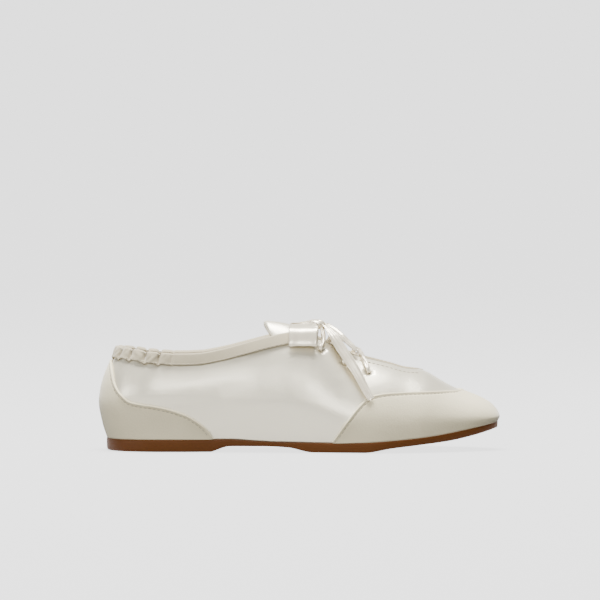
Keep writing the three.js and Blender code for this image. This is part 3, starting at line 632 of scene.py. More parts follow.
def with_corners(stations, *places):
    """Moves the nearest stations onto places that an edge turns at."""
    stations = stations.copy()
    for place in places:
        for side_of_heel in (range(len(stations) // 2), range(len(stations) // 2, len(stations))):
            part = np.array(side_of_heel)
            nearest = part[np.argmin(np.abs(stations[part] - float(station_of(place))))]
            stations[nearest] = float(station_of(place))
    return stations


EYELET_RADIUS = 1.75
EYELET_DROPS = {171.0: 8.0, 156.0: 7.5, 141.0: 6.0}  # below the throat's edge, by each eyelet's x
EYELETS = [(x, side) for x in EYELET_DROPS for side in (LATERAL, MEDIAL)]


def corners_of(mesh):
    corners = np.empty(len(mesh.vertices) * 3)
    mesh.vertices.foreach_get("co", corners)
    return corners.reshape(-1, 3)


def rim_of(mesh):
    """The corners on open edges, which only one face uses."""
    uses = {}
    for polygon in mesh.polygons:
        for key in polygon.edge_keys:
            uses[key] = uses.get(key, 0) + 1
    return sorted({i for key, count in uses.items() if count == 1 for i in key})


def select_corners(piece, chosen):
    """Selects corners by a list of true and false, and nothing else."""
    only(piece)
    mesh = piece.data
    mesh.polygons.foreach_set("select", np.zeros(len(mesh.polygons), bool))
    mesh.edges.foreach_set("select", np.zeros(len(mesh.edges), bool))
    mesh.vertices.foreach_set("select", chosen)
    bpy.ops.object.mode_set(mode="EDIT")
    bpy.ops.mesh.select_mode(type="VERT")


def open_eyelets(piece, offset):
    """Cuts round holes out of a cloth: the cells inside go, and the cut's corners move onto the circle."""
    places = []
    for x, side in EYELETS:
        z = throat(x) - EYELET_DROPS[x]
        centre, outer = (to_frame(surface_point(x, z, side, reach)) for reach in (offset, offset + 2))
        places.append((centre, (outer - centre) / np.linalg.norm(outer - centre)))
    corners = corners_of(piece.data)
    inside = np.zeros(len(corners), bool)
    for centre, _ in places:
        inside |= np.linalg.norm(corners - centre, axis=1) < EYELET_RADIUS * MM
    select_corners(piece, inside)
    bpy.ops.mesh.delete(type="VERT")
    bpy.ops.object.mode_set(mode="OBJECT")
    corners = corners_of(piece.data)
    rim = np.array(rim_of(piece.data))
    for centre, axis in places:
        arms = corners[rim] - centre
        height = arms @ axis
        flat = arms - height[:, None] * axis
        reach = np.linalg.norm(flat, axis=1)
        near = np.linalg.norm(arms, axis=1) < 2.2 * EYELET_RADIUS * MM
        away = flat / np.maximum(reach, 1e-9)[:, None]
        circle = centre + height[:, None] * axis + away * EYELET_RADIUS * MM
        corners[rim[near]] = circle[near]
    piece.data.vertices.foreach_set("co", corners.ravel())
    piece.data.update()


# %% [markdown]
# ## How the satin hangs
# Stretched cloth is never even. Under the gathers it is drawn in below each pinch and puffs out between
# them; long shallow pulls slant down from the instep; and over the stiff counter it swells and then falls in
# under the band. Each is a small offset of the form, worked out by a formula, so they add up at any point.

# %% Lay the satin
PUCKER_SPACING = 9.0
FIRST_PUCKER = 5.0


def run_from_heel(row):
    """The distance of each point of a row from the middle of the heel, negative on the medial side."""
    run = run_along(row)
    return (run - run[np.argmin(row[:, 0])])[:, None]


def fold_phase(run):
    """Whole at each pinch of the gathered band, and a half in the middle of each fold."""
    return (run - FIRST_PUCKER) / PUCKER_SPACING + 0.07 * np.sin(run / 7.3) + 0.04 * np.sin(run / 3.7 + 1)


def gather_ripples(x, below_edge, run):
    """Ripples under the gathered band, as an inward offset."""
    strength = 1.1 * (1 - smooth((x - 36) / 22)) + 0.10
    wave = np.cos(2 * np.pi * fold_phase(run)) + 0.35 * np.cos(run / 0.62 + 1.7 * np.sin(run / 4.1))
    return -strength * (1.35 + wave) / 2.7 * np.exp(-below_edge / 5.0)


def drag_lines(x, z):
    """Long shallow pulls, slanting down from the instep to the sole, as an inward offset."""
    slant = x * 0.55 + z
    between = smooth((x - 60) / 40) * (1 - smooth((x - 190) / 30))
    return -0.22 * (1 + np.sin(slant / 9.0 + 1.3 * np.sin(x / 31.0))) * between


def heel_swell(x, z):
    """The quarter swells over the counter and falls in under the band, in front of a long soft fold."""
    beside_fold = ((x - 60) * 0.62 - (z - 31) * 0.90) / 1.09
    inside_fold = 1 - smooth((beside_fold + 14) / 24)
    rising = smooth((z - 29) / 7)
    falling_in = smooth((z - 38) / 22)
    ahead = 1 - smooth((x - 96) / 22)
    past_heel = smooth((x - 11) / 14)
    swell = inside_fold * (1.25 * rising - 2.05 * falling_in) - 0.35 * (1 - inside_fold) * falling_in
    return ahead * past_heel * swell


MARGIN_TURNS = (11.0, 7.0, 3.0, 0.8)  # how far each row of the lasting margin is turned in
MARGIN_LIFT = 0.9
SATIN_WALL = 0.7


def make_satin_upper():
    stations, sides = columns_round(TOE_X, 190)
    stations = with_corners(stations, THROAT_BACK, THROAT_FRONT)
    angles, below = angles_up(stations, sides, upper_edge(stations), 64)
    face = last_point(stations[:, None], angles, sides[:, None])
    run = run_from_heel(face[:, -1])
    x = station_x(stations)[:, None] + 0 * angles
    offset = gather_ripples(x, below, run) * (x < THROAT_BACK) + drag_lines(x, face[..., 2])
    offset += heel_swell(x, face[..., 2])
    offset = offset * smooth((face[..., 2] - feather_z(x)) / 10)
    points = offset_point(stations[:, None], angles, sides[:, None], offset)
    hem = []
    middle = (HEEL_X + TOE_X) / 2
    for turn in MARGIN_TURNS:
        row = points[:, 0].copy()
        row[:, 0] = middle + (row[:, 0] - middle) * (1 - turn / (middle - HEEL_X))
        row[:, 1] = centre_y(row[:, 0]) + (row[:, 1] - centre_y(points[:, 0, 0])) * (1 - turn / 40)
        row[:, 2] = feather_z(row[:, 0]) + MARGIN_LIFT
        hem.append(row[:, None])
    points[:, 0, 2] -= 0.1
    piece = lay_grid("satin_upper_cloth", np.concatenate([*hem, points], axis=1), SATIN)
    merge_seams(piece)
    open_eyelets(piece, 0)
    thicken(piece, SATIN_WALL)
    finish_piece(piece, "shoe", "satin", "satin_upper")


make_satin_upper()

# %% [markdown]
# ## The lining
# The lining is what shows inside the mouth of the shoe. It is the same grid on a smaller form, without the
# ripples, since it is held flat by the casing's stitches, and it ends where the padded sock begins.

# %% Lay the lining
LINING_OUT = -2.2
BOARD_TOP = 3.2


def make_lining():
    stations, sides = columns_round(251.0, 130)
    stations = with_corners(stations, THROAT_BACK, THROAT_FRONT)
    bottom = angle_at(stations, feather_z(station_x(stations)) + BOARD_TOP)
    angles, _ = angles_up(stations, sides, upper_edge(stations), 44, bottom=bottom)
    points = offset_point(stations[:, None], angles, sides[:, None], LINING_OUT + 0 * angles)
    piece = lay_grid("upper_lining_cloth", points, LINING)
    merge_seams(piece, 0.0001)
    open_eyelets(piece, LINING_OUT)
    thicken(piece, 0.8)
    finish_piece(piece, "shoe", "lining", "upper_lining")


make_lining()

# %% [markdown]
# ## The matte overlays
# The heel and the toe are wrapped in a matte cloth with a folded, raised edge and a row of stitches just
# inside it. Solid thickness along the edge is what makes an overlay look sewn on rather than painted, so
# each point's distance from the edge decides how far it stands out: a bead, then the stitches' groove.


# %% Cut the overlays
def edge_line(stations, side, line):
    return last_point(stations, angle_on_line(stations, line), np.full(len(stations), side))


def distance_to(points, edge):
    """The distance of each point from the nearest of an edge's points."""
    flat = points.reshape(-1, 3)
    nearest = np.full(len(flat), 1e9)
    for start in range(0, len(edge), 40):
        gaps = np.linalg.norm(flat[:, None] - edge[None, start:start + 40], axis=2)
        nearest = np.minimum(nearest, gaps.min(axis=1))
    return nearest.reshape(points.shape[:-1])


def raised(distance):
    """How far an overlay stands out, by the distance from its edge: folded bead, groove, flat."""
    bead = 0.35 * np.exp(-((distance - 0.9) / 0.75) ** 2)
    groove = -0.28 * np.exp(-((distance - 2.3) / 0.45) ** 2)
    return 0.98 + bead + groove - 0.75 * np.exp(-((distance / 0.35) ** 2))


HEEL_OVERLAY_FRONT = 73.2
TOE_OVERLAY_BACK, TOE_OVERLAY_TOP = 148.6, 230
heel_stations = np.linspace(0, float(station_of(HEEL_OVERLAY_FRONT)), 400)
toe_stations = np.linspace(float(station_of(TOE_OVERLAY_BACK)), float(station_of(TOE_OVERLAY_TOP)), 500)
HEEL_EDGE = np.concatenate([edge_line(heel_stations, side, heel_seam) for side in (MEDIAL, LATERAL)])
TOE_EDGE = np.concatenate([edge_line(toe_stations, side, toe_seam) for side in (MEDIAL, LATERAL)])


def make_overlay(name, stations, sides, top, edge, node):
    angles, _ = angles_up(stations, sides, top, 58, crowd=1.5)
    face = last_point(stations[:, None], angles, sides[:, None])
    offset = raised(distance_to(face, edge)) + heel_swell(face[..., 0], face[..., 2])
    piece = lay_grid(name, offset_point(stations[:, None], angles, sides[:, None], offset), SUEDE)
    merge_seams(piece, 0.00003)
    thicken(piece, SATIN_WALL)
    finish_piece(piece, "shoe", "overlay", node)


def make_heel_overlay():
    stations, sides = columns_round(HEEL_OVERLAY_FRONT, 110)
    top = angle_on_line(stations, heel_seam)
    make_overlay("heel_overlay_cloth", stations, sides, top, HEEL_EDGE, "heel_overlay")


def make_toe_overlay():
    ahead = np.linspace(float(station_of(TOE_OVERLAY_BACK)), 1.0, 150)
    corner = float(station_of(TOE_OVERLAY_TOP))
    ahead[np.argmin(np.abs(ahead - corner))] = corner
    top = np.where(ahead < corner - 1e-6, angle_on_line(ahead, toe_seam), np.pi / 2)
    stations = np.concatenate([ahead, ahead[-2::-1]])
    sides = np.where(np.arange(len(stations)) < len(ahead), LATERAL, MEDIAL)
    top = np.concatenate([top, top[-2::-1]])
    make_overlay("toe_overlay_cloth", stations, sides, top, TOE_EDGE, "toe_overlay")


make_heel_overlay()
make_toe_overlay()

# %% [markdown]
# ## Stitches
# Topstitching is a row of separate short stitches, each a little pillow of thread that dips at its ends.
# One stitch is drawn out from a small sphere, and a row is copies of it laid end to end along a line.


# %% Sew a row of stitches
STITCH = {"length": 2.1, "gap": 0.75, "thickness": 0.42}


def stitch_shape():
    deselect()
    bpy.ops.mesh.primitive_uv_sphere_add(segments=8, ring_count=6, radius=0.5)
    seed = bpy.context.object
    bpy.ops.object.mode_set(mode="EDIT")
    bpy.ops.mesh.select_all(action="SELECT")
    bpy.ops.transform.resize(value=(STITCH["thickness"] * 1.25, STITCH["thickness"], STITCH["length"]))
    bpy.ops.object.mode_set(mode="OBJECT")
    corners = np.array([v.co for v in seed.data.vertices])
    faces = [list(p.vertices) for p in seed.data.polygons]
    bpy.data.objects.remove(seed)
    return corners, faces


STITCH_CORNERS, STITCH_FACES = stitch_shape()


def resample(points, values, spacing):
    """Values at evenly spaced places along a row of points."""
    run = run_along(points)
    count = max(2, int(run[-1] / spacing))
    at = (np.arange(count) + 0.5) * run[-1] / count
    return np.stack([np.interp(at, run, values[:, i]) for i in range(3)], axis=1)


def sew(name, rows):
    """Stitches along rows of (points, outward normals), in millimetres."""
    corners, faces = [], []
    for points, normals in rows:
        spacing = STITCH["length"] + STITCH["gap"]
        places = resample(points, points, spacing)
        out = resample(points, normals, spacing)
        along = np.gradient(places, axis=0)
        for place, direction, normal in zip(places, along, out):
            direction = direction / np.linalg.norm(direction)
            across = np.cross(normal, direction)
            across = across / max(np.linalg.norm(across), 1e-6)
            up = np.cross(direction, across)
            base = len(corners) * len(STITCH_CORNERS)
            corners.append(place + STITCH_CORNERS @ np.stack([across, up, direction]))
            faces.extend([[base + i for i in face] for face in STITCH_FACES])
    mesh = bpy.data.meshes.new(name)
    mesh.from_pydata(to_frame(np.concatenate(corners)).tolist(), [], faces)
    piece = bpy.data.objects.new(name, mesh)
    bpy.context.collection.objects.link(piece)
    mesh.materials.append(THREAD_WITH_PAINTED_SEAM_SHADE)
    only(piece)
    bpy.ops.object.shade_smooth()
    finish_piece(piece, "shoe", "ribbon")


def row_inside(stations, side, line, below, offset):
    """A row of points parallel to a line of the side view, with the surface's normals."""
    angles = angle_on_line(stations, line, below)
    offset = np.broadcast_to(offset, len(stations))
    points = offset_point(stations, angles, np.full(len(stations), side), offset)
    lifted = offset_point(stations, angles, np.full(len(stations), side), offset + 1)
    return points, lifted - points


def moved_in(points, normals, distance, towards):
    """The row moved across itself over the surface, towards a point of the piece."""
    along = np.gradient(points, axis=0)
    across = np.cross(normals, along)
    across /= np.maximum(np.linalg.norm(across, axis=1, keepdims=True), 1e-9)
    across *= np.sign(np.einsum("ij,ij->i", across, towards - points))[:, None]
    return points + across * distance, normals


HEEL_MIDDLE = np.array([30.0, 0.0, 12.0])
TOE_MIDDLE = np.array([215.0, 0.0, 8.0])
OVERLAY_FACE = 0.86
EDGE_TO_STITCHES = 2.3


def sew_overlay(name, stations, seam, middle):
    halves = []
    for side in (MEDIAL, LATERAL):
        edge = edge_line(stations, side, seam)
        face = OVERLAY_FACE + heel_swell(edge[:, 0], edge[:, 2])
        points, normals = row_inside(stations, side, seam, 0, face)
        halves.append(moved_in(points, normals, EDGE_TO_STITCHES, middle))
    sew(name, halves)


heel_row = np.linspace(0.0, float(station_of(71.5)), 260)
toe_row = np.linspace(float(station_of(150.5)), float(station_of(226)), 320)
sew_overlay("heel_overlay_stitching", heel_row, heel_seam, HEEL_MIDDLE)
sew_overlay("toe_overlay_stitching", toe_row, toe_seam, TOE_MIDDLE)

# %% [markdown]
# ## The gathered casing
# The band round the mouth is a strip of satin folded over an elastic. Sewn flat while the elastic is
# stretched, it gathers when the elastic lets go, into small puckers that are pinched at the stitch line and
# full in the middle. The elastic reaches only round the heel, so the band runs smooth along the sides. It
# is a loft of a folded section, with the puckers as waves whose spacing wanders, the same ones that draw
# the satin in below. The finish is duller than the upper's, as crumpled cloth has no one sheen.

# %% Fold and gather the casing
BAND = 8.0
FOLD_RADIUS = 1.3
OUTER_FACE, FOLD_MIDDLE, INNER_FACE = 0.95, -1.5, -3.75
CASING_WALL = 0.45
BAND_CLOTH = make_matte_cloth("gathered_band_cloth", (0.46, 0.40, 0.28), (0.36, 0.31, 0.205), 1500.0, 0.00005)


def casing_section(points_per_wall=15):
    """(below the topline, offset, fullness) round the folded strip, with its wall's inside face."""
    down = np.linspace(BAND, FOLD_RADIUS, points_per_wall)
    belly = np.sin(np.pi * (down - FOLD_RADIUS) / (BAND - FOLD_RADIUS)) ** 0.8
    over = np.linspace(0, np.pi, 13)[1:-1]
    outer = [(b, OUTER_FACE, 0.45 + 0.55 * f) for b, f in zip(down, belly)]
    top = [
        (FOLD_RADIUS - FOLD_RADIUS * math.sin(t), FOLD_MIDDLE + 2.35 * math.cos(t), 0.35 + 0.2 * math.sin(t))
        for t in over
    ]
    inner = [(b, INNER_FACE - 0.35 * f, 0.5 * f) for b, f in zip(down[::-1], belly[::-1])]
    face = np.array([*outer, *top, *inner])
    back = face[::-1].copy()
    back[:, 0] = np.clip(back[:, 0] + CASING_WALL * (back[:, 0] < 1.5), 0, BAND)
    back[:, 1] = back[:, 1] - CASING_WALL * np.clip((back[:, 1] - FOLD_MIDDLE) / 2.0, -1, 1)
    return np.concatenate([face, back])


def pucker(run, below, x):
    """Full folds between narrow pinches, uneven along the band and gone where the elastic ends."""
    strength = 1.45 * (1 - smooth((x - 36) / 14)) + 0.06 * (1 - smooth((x - 80) / 40))
    drift = run + 0.12 * (below - 4) * np.sin(run / 8.1 + 0.8)
    phase = fold_phase(drift)
    pinch = np.exp(-((((phase + 0.5) % 1) - 0.5) / 0.10) ** 2)
    fold = np.cos(2 * np.pi * phase + np.pi) * 0.3
    crumple = 0.10 * np.sin(drift / 0.85 + 2 * np.sin(below * 0.7 + drift / 4))
    return strength * (fold + crumple - pinch)


def make_casing():
    stations, sides = columns_round(THROAT_BACK, 330)
    section = casing_section()
    shape = (len(stations), len(section))
    below, offset, fullness = (np.broadcast_to(section[:, i], shape) for i in range(3))
    spine = last_point(stations, angle_on_line(stations, topline), sides)
    run = run_from_heel(spine)
    x = station_x(stations)[:, None]
    waves = pucker(run, below, x)
    outwards = np.where(offset > FOLD_MIDDLE, 1.0, -1.0)
    offset = offset + outwards * waves * fullness
    rolled = below + 0.7 * np.maximum(-waves, 0) * (below < 1.2) - 0.6 * waves * (below > BAND - 0.1)
    angles = angle_on_line(stations[:, None], topline, np.maximum(rolled, 0))
    points = offset_point(stations[:, None], angles, sides[:, None], offset)
    piece = rope_of("topline_casing_cloth", points, BAND_CLOTH)
    finish_piece(piece, "shoe", "satin", "topline_casing")


def sew_casing():
    row = np.linspace(0.0, float(station_of(137)), 400)
    sew("casing_stitching", [row_inside(row, side, topline, BAND - 0.9, 1.0) for side in (MEDIAL, LATERAL)])


make_casing()
sew_casing()

# %% [markdown]
# ## The throat's binding
# Where the upper opens over the instep its edge is bound with a narrow folded strip, which hides the
# satin's and the lining's cut edges. It is a small oval section swept along the throat, from one end of
# the casing, round the front, to the other.


# %% Bind the throat
def ring_sections(centres, first, second, radii, sides_of_ring=12):
    """Oval rings about centres, from two directions across and their two radii."""
    turn = np.linspace(0, 2 * np.pi, sides_of_ring, endpoint=False)
    return (
        centres[:, None]
        + first[:, None] * (np.cos(turn) * radii[0])[None, :, None]
        + second[:, None] * (np.sin(turn) * radii[1])[None, :, None]
    )


def bind_throat():
    ahead = np.linspace(float(station_of(138.5)), float(station_of(THROAT_FRONT)), 110)
    halves = []
    angles = angle_at(ahead, throat(station_x(ahead)))
    for side in (LATERAL, MEDIAL):
        whole = np.full(len(ahead), side)
        centres = offset_point(ahead, angles, whole, np.full(len(ahead), -1.45))
        out = offset_point(ahead, angles, whole, np.full(len(ahead), -0.45)) - centres
        halves.append((centres, out))
    centres = np.concatenate([halves[0][0], halves[1][0][-2::-1]])
    out = np.concatenate([halves[0][1], halves[1][1][-2::-1]])
    for _ in range(3):
        centres[1:-1] = (centres[:-2] + centres[1:-1] + centres[2:]) / 3
    along = np.gradient(centres, axis=0)
    along /= np.linalg.norm(along, axis=1, keepdims=True)
    across = np.cross(out, along)
    across /= np.linalg.norm(across, axis=1, keepdims=True)
    piece = rope_of("throat_binding", ring_sections(centres, out, across, (1.75, 0.6)), BAND_CLOTH)
    finish_piece(piece, "shoe", "satin")


def sew_throat():
    row = np.linspace(float(station_of(141)), float(station_of(203)), 160)
    sew("throat_stitching", [row_inside(row, side, throat, 2.2, 0.12) for side in (LATERAL, MEDIAL)])


bind_throat()
sew_throat()

# %% [markdown]
# ## The rubber sole
# The sole is one moulding: a thick heel with a sloping breast, a thin waist, a flat tread at the ball and a
# toe that springs up. A section of the moulding, with its rounded corners, is laid at every station; its
# underside carries shallow moulded bars for grip.

# %% Mould the sole
SOLE_CORNERS = (72, 136, 168)  # the breast's foot and the ends of the flat tread
SOLE_WALL = np.array([  # how far it stands out past the feather edge, and its share of the way down
    (0.0, 0.0), (0.85, 0.01), (1.14, 0.05), (1.22, 0.12), (1.24, 0.3), (1.22, 0.5), (1.14, 0.72),
    (0.98, 0.88), (0.66, 0.96), (0.0, 0.995), (-1.0, 1.0),
])
BAR_SPACING, BAR_DEPTH = 5.2, 0.7
tread_z = through([
    (72, 0), (84, 3.5), (105, 3.5), (120, 2.9), (136, 0), (168, 0), (185, 2.6), (205, 4.8), (222, 6.8),
    (237, 9.8), (252, 13.8),
])


def outline_point(station, side, inset):
    def at(s):
        beyond = (s < 0) | (s > 1)
        x = station_x(s)
        half = feather_half(np.where(s < 0, -s, np.where(s > 1, 2 - s, s)))
        return np.stack([x, centre_y(x) + np.where(beyond, -side, side) * half], axis=-1)

    tangent = at(station + 1e-3) - at(station - 1e-3)
    tangent /= np.linalg.norm(tangent, axis=-1, keepdims=True)
    inward = np.stack([tangent[..., 1], -tangent[..., 0]], axis=-1) * side
    return at(station) + inward * np.asarray(inset)[..., None]


def tread_bars(x, share):
    """Shallow bars across the ball and the heel, which stop short of the edge."""
    heel_zone = smooth((x - 22) / 2) * (1 - smooth((x - 62) / 2))
    ball_zone = smooth((x - 138) / 3) * (1 - smooth((x - 216) / 3))
    bars = smooth((np.sin(2 * np.pi * x / BAR_SPACING + 5.5 * share**2) + 0.15) * 2.2)
    return BAR_DEPTH * (heel_zone + ball_zone) * bars * (1 - smooth((np.abs(share) - 0.76) / 0.06))


def wall_points(stations, side):
    rows = [outline_point(stations, side, np.full(len(stations), -edge)) for edge, _ in SOLE_WALL]
    flat = np.stack(rows, axis=1)
    x = flat[..., 0]
    z = feather_z(x) + (tread_z(x) - feather_z(x)) * SOLE_WALL[:, 1]
    return np.concatenate([flat, z[..., None]], axis=2)


def make_sole():
    corners = [float(station_of(x)) for x in SOLE_CORNERS]
    stations = np.sort(np.concatenate([np.linspace(0, 1, 420), corners]))
    shares = np.linspace(-1, 1, 31)[1:-1]
    lateral, medial = wall_points(stations, LATERAL), wall_points(stations, MEDIAL)

    def across(first, last):
        return first[:, None] + (last - first)[:, None] * ((shares + 1) / 2)[None, :, None]

    tread = across(lateral[:, -1], medial[:, -1])
    tread[..., 2] = tread_z(tread[..., 0]) + tread_bars(tread[..., 0], shares[None, :])
    upper = across(medial[:, 0], lateral[:, 0])
    upper[..., 2] = feather_z(upper[..., 0])
    rings = np.concatenate([lateral, tread, medial[:, ::-1], upper], axis=1)
    rings[..., 2] = np.maximum(rings[..., 2], 0)
    piece = lay_grid("gum_sole", np.concatenate([rings, rings[:, :1]], axis=1), GUM)
    merge_seams(piece)
    finish_piece(piece, "shoe", "gum_rubber", "outsole")


make_sole()

# %% [markdown]
# ## The padded sock
# Inside, a cloth sock covers the foam and the board. It is cut to the insole's outline and dips a little
# where the heel and the ball press, with its edge rounded down against the lining.


# %% Lay the sock
SOCK_INSET = 3.75
SOCK_TOP = 5.95


def make_sock():
    stations = np.linspace(0.0, 1.0, 150)
    shares = np.sin(np.linspace(-np.pi / 2, np.pi / 2, 36))
    inset = np.full(len(stations), SOCK_INSET)
    lateral = outline_point(stations, LATERAL, inset)
    medial = outline_point(stations, MEDIAL, inset)
    flat = lateral[:, None] + (medial - lateral)[:, None] * ((shares + 1) / 2)[None, :, None]
    x = flat[..., 0]
    dip = 0.5 * np.exp(-(((x - 38) / 24) ** 2)) + 0.35 * np.exp(-(((x - 172) / 26) ** 2))
    edge = smooth((1 - np.abs(shares)) / 0.06) * smooth(np.minimum(stations, 1 - stations) / 0.03)[:, None]
    z = feather_z(x) + SOCK_TOP + 0.75 * edge + 0.45 - dip * (1 - shares**2)
    piece = lay_grid("sock_lining_cloth", np.concatenate([flat, z[..., None]], axis=2), SOCK)
    merge_seams(piece)
    thicken(piece, 0.7)
    finish_piece(piece, "shoe", "lining", "sock_lining")


make_sock()

# %% [markdown]
# ## The tongue
# The tongue is a thin pad: satin over foam with a cloth back, sewn down at its front end and flaring at its
# free end above the bow. It swells between its seams, so it is a closed, crowned shape with a rounded rim.

# %% Pad the tongue
TONGUE_END, TONGUE_SEAM = 109.0, 213.0
tongue_half = through([
    (109, 10.5), (111, 15), (115, 17.5), (123, 18.5), (140, 18), (156, 15), (171, 14.5), (190, 14), (213, 10),
])
TONGUE_OUT = -6.6  # offsets from the form: the pad's face, its inside, and the cloth back's two faces
PAD_INSIDE, BACK_OUTSIDE, BACK_INSIDE = -8.3, -8.55, -9.25
TONGUE_RISE = 193


def tongue_lift(x, share):
    flare = 2.6 * smooth((THROAT_BACK - x) / (THROAT_BACK - TONGUE_END)) * (1 - 0.8 * share**2)
    return flare + 2.8 * smooth((x - TONGUE_RISE) / (TONGUE_SEAM - TONGUE_RISE))


def tongue_points(x, share, offset):
    station = station_of(x)
    angle = np.arccos(np.clip(np.abs(share) * tongue_half(x) / body_half(station), 0, 1))
    side = np.where(share < 0, LATERAL, MEDIAL)
    points = offset_point(station, angle, side, offset + tongue_lift(x, share))
    points[..., 0] -= 4.2 * smooth((121 - x) / 12) * (1 - 0.55 * share**2)
    return points


def tongue_layer(name, outer, inner, crown, finish, node_names):
    x = np.concatenate([np.linspace(TONGUE_END, 116, 16), np.linspace(117, TONGUE_SEAM, 96)])[:, None]
    turn = np.linspace(0, 2 * np.pi, 72, endpoint=False)[None, :]
    share = np.cos(turn) * (1 - 0.015)
    middle, half = (outer + inner) / 2, (outer - inner) / 2
    free_end = np.sqrt(np.clip(smooth((x - TONGUE_END) / 2.4) + 0.02, 0, 1))
    ends = free_end * np.sqrt(smooth((TONGUE_SEAM - x) / 2.4) + 0.02)
    swell = np.sign(np.sin(turn)) * np.abs(np.sin(turn)) ** 0.45 * half
    quilting = crown * np.maximum(np.sin(turn), 0) ** 1.2 * (1 - smooth((x - 196) / 14))
    piece = rope_of(name, tongue_points(x, share, middle + (swell + quilting) * ends), finish)
    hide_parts(*node_names)
    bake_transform(piece)
    print(name, len(piece.data.polygons), "faces")


tongue_layer("tongue_pad", TONGUE_OUT, PAD_INSIDE, 0.35, SATIN, ("tongue", "tongue_foam"))
tongue_layer("tongue_back", BACK_OUTSIDE, BACK_INSIDE, 0.0, LINING, ("tongue_lining",))

# %% [markdown]
# ## The ribbon lacing
# The ribbon is bunched up to pass through the eyelets. Pulled tight like that it is no longer flat but a
# soft rope with a few deep lengthwise folds that twist slowly. The section is a circle with lobes, turned
# a little from each ring to the next, along the same route as the frame's lace.


# %% Thread the lace
def catmull_rom(points, per_span=14):
    """A centripetal Catmull-Rom curve, evenly resampled."""
    points = np.asarray(points, float)
    padded = np.concatenate([[2 * points[0] - points[1]], points, [2 * points[-1] - points[-2]]])
    out = []
    for p0, p1, p2, p3 in zip(padded, padded[1:], padded[2:], padded[3:]):
        steps = [np.linalg.norm(b - a) ** 0.5 for a, b in ((p0, p1), (p1, p2), (p2, p3))]
        t0, t1 = 0.0, steps[0]
        t2 = t1 + steps[1]
        t3 = t2 + steps[2]
        t = np.linspace(t1, t2, per_span, endpoint=False)[:, None]
        a1 = (t1 - t) / (t1 - t0) * p0 + (t - t0) / (t1 - t0) * p1
        a2 = (t2 - t) / (t2 - t1) * p1 + (t - t1) / (t2 - t1) * p2
        a3 = (t3 - t) / (t3 - t2) * p2 + (t - t2) / (t3 - t2) * p3
        b1 = (t2 - t) / (t2 - t0) * a1 + (t - t0) / (t2 - t0) * a2
        b2 = (t3 - t) / (t3 - t1) * a2 + (t - t1) / (t3 - t1) * a3
        out.append((t2 - t) / (t2 - t1) * b1 + (t - t1) / (t2 - t1) * b2)
    return np.concatenate([*out, points[-1:]])


def carried_frames(centres):
    """Directions across a curve that don't spin: each is the last one, made square to the curve."""
    along = np.gradient(centres, axis=0)
    along /= np.linalg.norm(along, axis=1, keepdims=True)
    first = np.cross(along[0], (0, 0, 1.0))
    firsts = []
    for direction in along:
        first = first - direction * first.dot(direction)
        first = first / np.linalg.norm(first)
        firsts.append(first)
    firsts = np.array(firsts)
    return firsts, np.cross(along, firsts)


LINING_IN = -3.0
UNDER = LINING_IN - 1.8  # the lace's way between the lining and the tongue
RIDE = 0.3 + 1.1  # and over the satin
LATERAL_OVER, MEDIAL_UNDER = 0.6, -2.6  # the heights at which its two halves cross, from the ridge
LACE_RADIUS = 1.35


def through_eyelet(x, side):
    z = throat(x) - EYELET_DROPS[x]
    steps = zip((0.5, 0.0, -0.5), (UNDER, LINING_IN / 2, RIDE))
    return [surface_point(x + ahead, z, side, offset) for ahead, offset in steps]


def crossing(start, end, side, middle_offset):
    over = surface_point(start - 4, throat(start - 4) - 1, side, RIDE + 0.25)
    middle = last_point(station_of((start + end) / 2), np.pi / 2, side)
    middle = middle + (0, 0, middle_offset)
    inside = surface_point(end + 5.5, throat(end + 5.5) + 1.5, -side, UNDER + 0.8)
    under = surface_point(end + 3.5, throat(end + 3.5) - 3.4, -side, UNDER)
    return [over, middle, inside, under]


def lace_half(side):
    xs = tuple(EYELET_DROPS)
    points = []
    for i, x in enumerate(xs):
        here = side if i % 2 == 0 else -side
        points += through_eyelet(x, here)
        if i + 1 < len(xs):
            points += crossing(x, xs[i + 1], here, LATERAL_OVER if here == LATERAL else MEDIAL_UNDER)
        else:
            points.append(surface_point(x + 1, throat(x + 1) - 1.5, here, RIDE + 0.1))
            points.append(knot_centre + (4.0, here * 6.7, -2.2))
    return points


def bunched(centres, radius, lobes=3, depth=0.2, twist=0.35, ring=24):
    """Rings of a bunched ribbon: a circle with lobes that turn slowly along the way."""
    first, second = carried_frames(centres)
    run = run_along(centres)[:, None]
    turn = np.linspace(0, 2 * np.pi, ring, endpoint=False)[None, :]
    fold = 1 + depth * np.cos(lobes * (turn + twist * run / 3)) + 0.4 * depth * np.cos(5 * turn - run / 2.1)
    reach = radius * fold / (1 + 0.5 * depth)
    return (
        centres[:, None]
        + first[:, None] * (np.cos(turn) * reach)[..., None]
        + second[:, None] * (np.sin(turn) * reach)[..., None]
    )


def make_lacing():
    x = max(EYELET_DROPS)
    ridge = last_point(station_of(x), np.pi / 2, MEDIAL)[2]
    bar_z = (throat(x) - EYELET_DROPS[x]) * 0.45 + ridge * 0.55
    past_ridge = 1000.0
    bar = [
        surface_point(x + 1, z, side, UNDER)
        for side, z in ((LATERAL, bar_z), (LATERAL, past_ridge), (MEDIAL, bar_z))
    ]
    route = catmull_rom([*lace_half(LATERAL)[::-1], *bar, *lace_half(MEDIAL)])
    piece = rope_of("ribbon_lacing_cloth", bunched(route, LACE_RADIUS), RIBBON)
    finish_piece(piece, "shoe", "ribbon", "ribbon_lacing")


make_lacing()


# %% [markdown]
# ## The bow
# A bow has three parts. The knot is one strand wrapped over the others, so its creases run over it and
# draw together at both ends. The loops are the flat ribbon, gathered into pleats at the knot and opening
# out to their full width. The tails are the same ribbon folded along its length. The knot starts from a
# sphere; the loops and tails are lofts with the ribbon's own thickness.


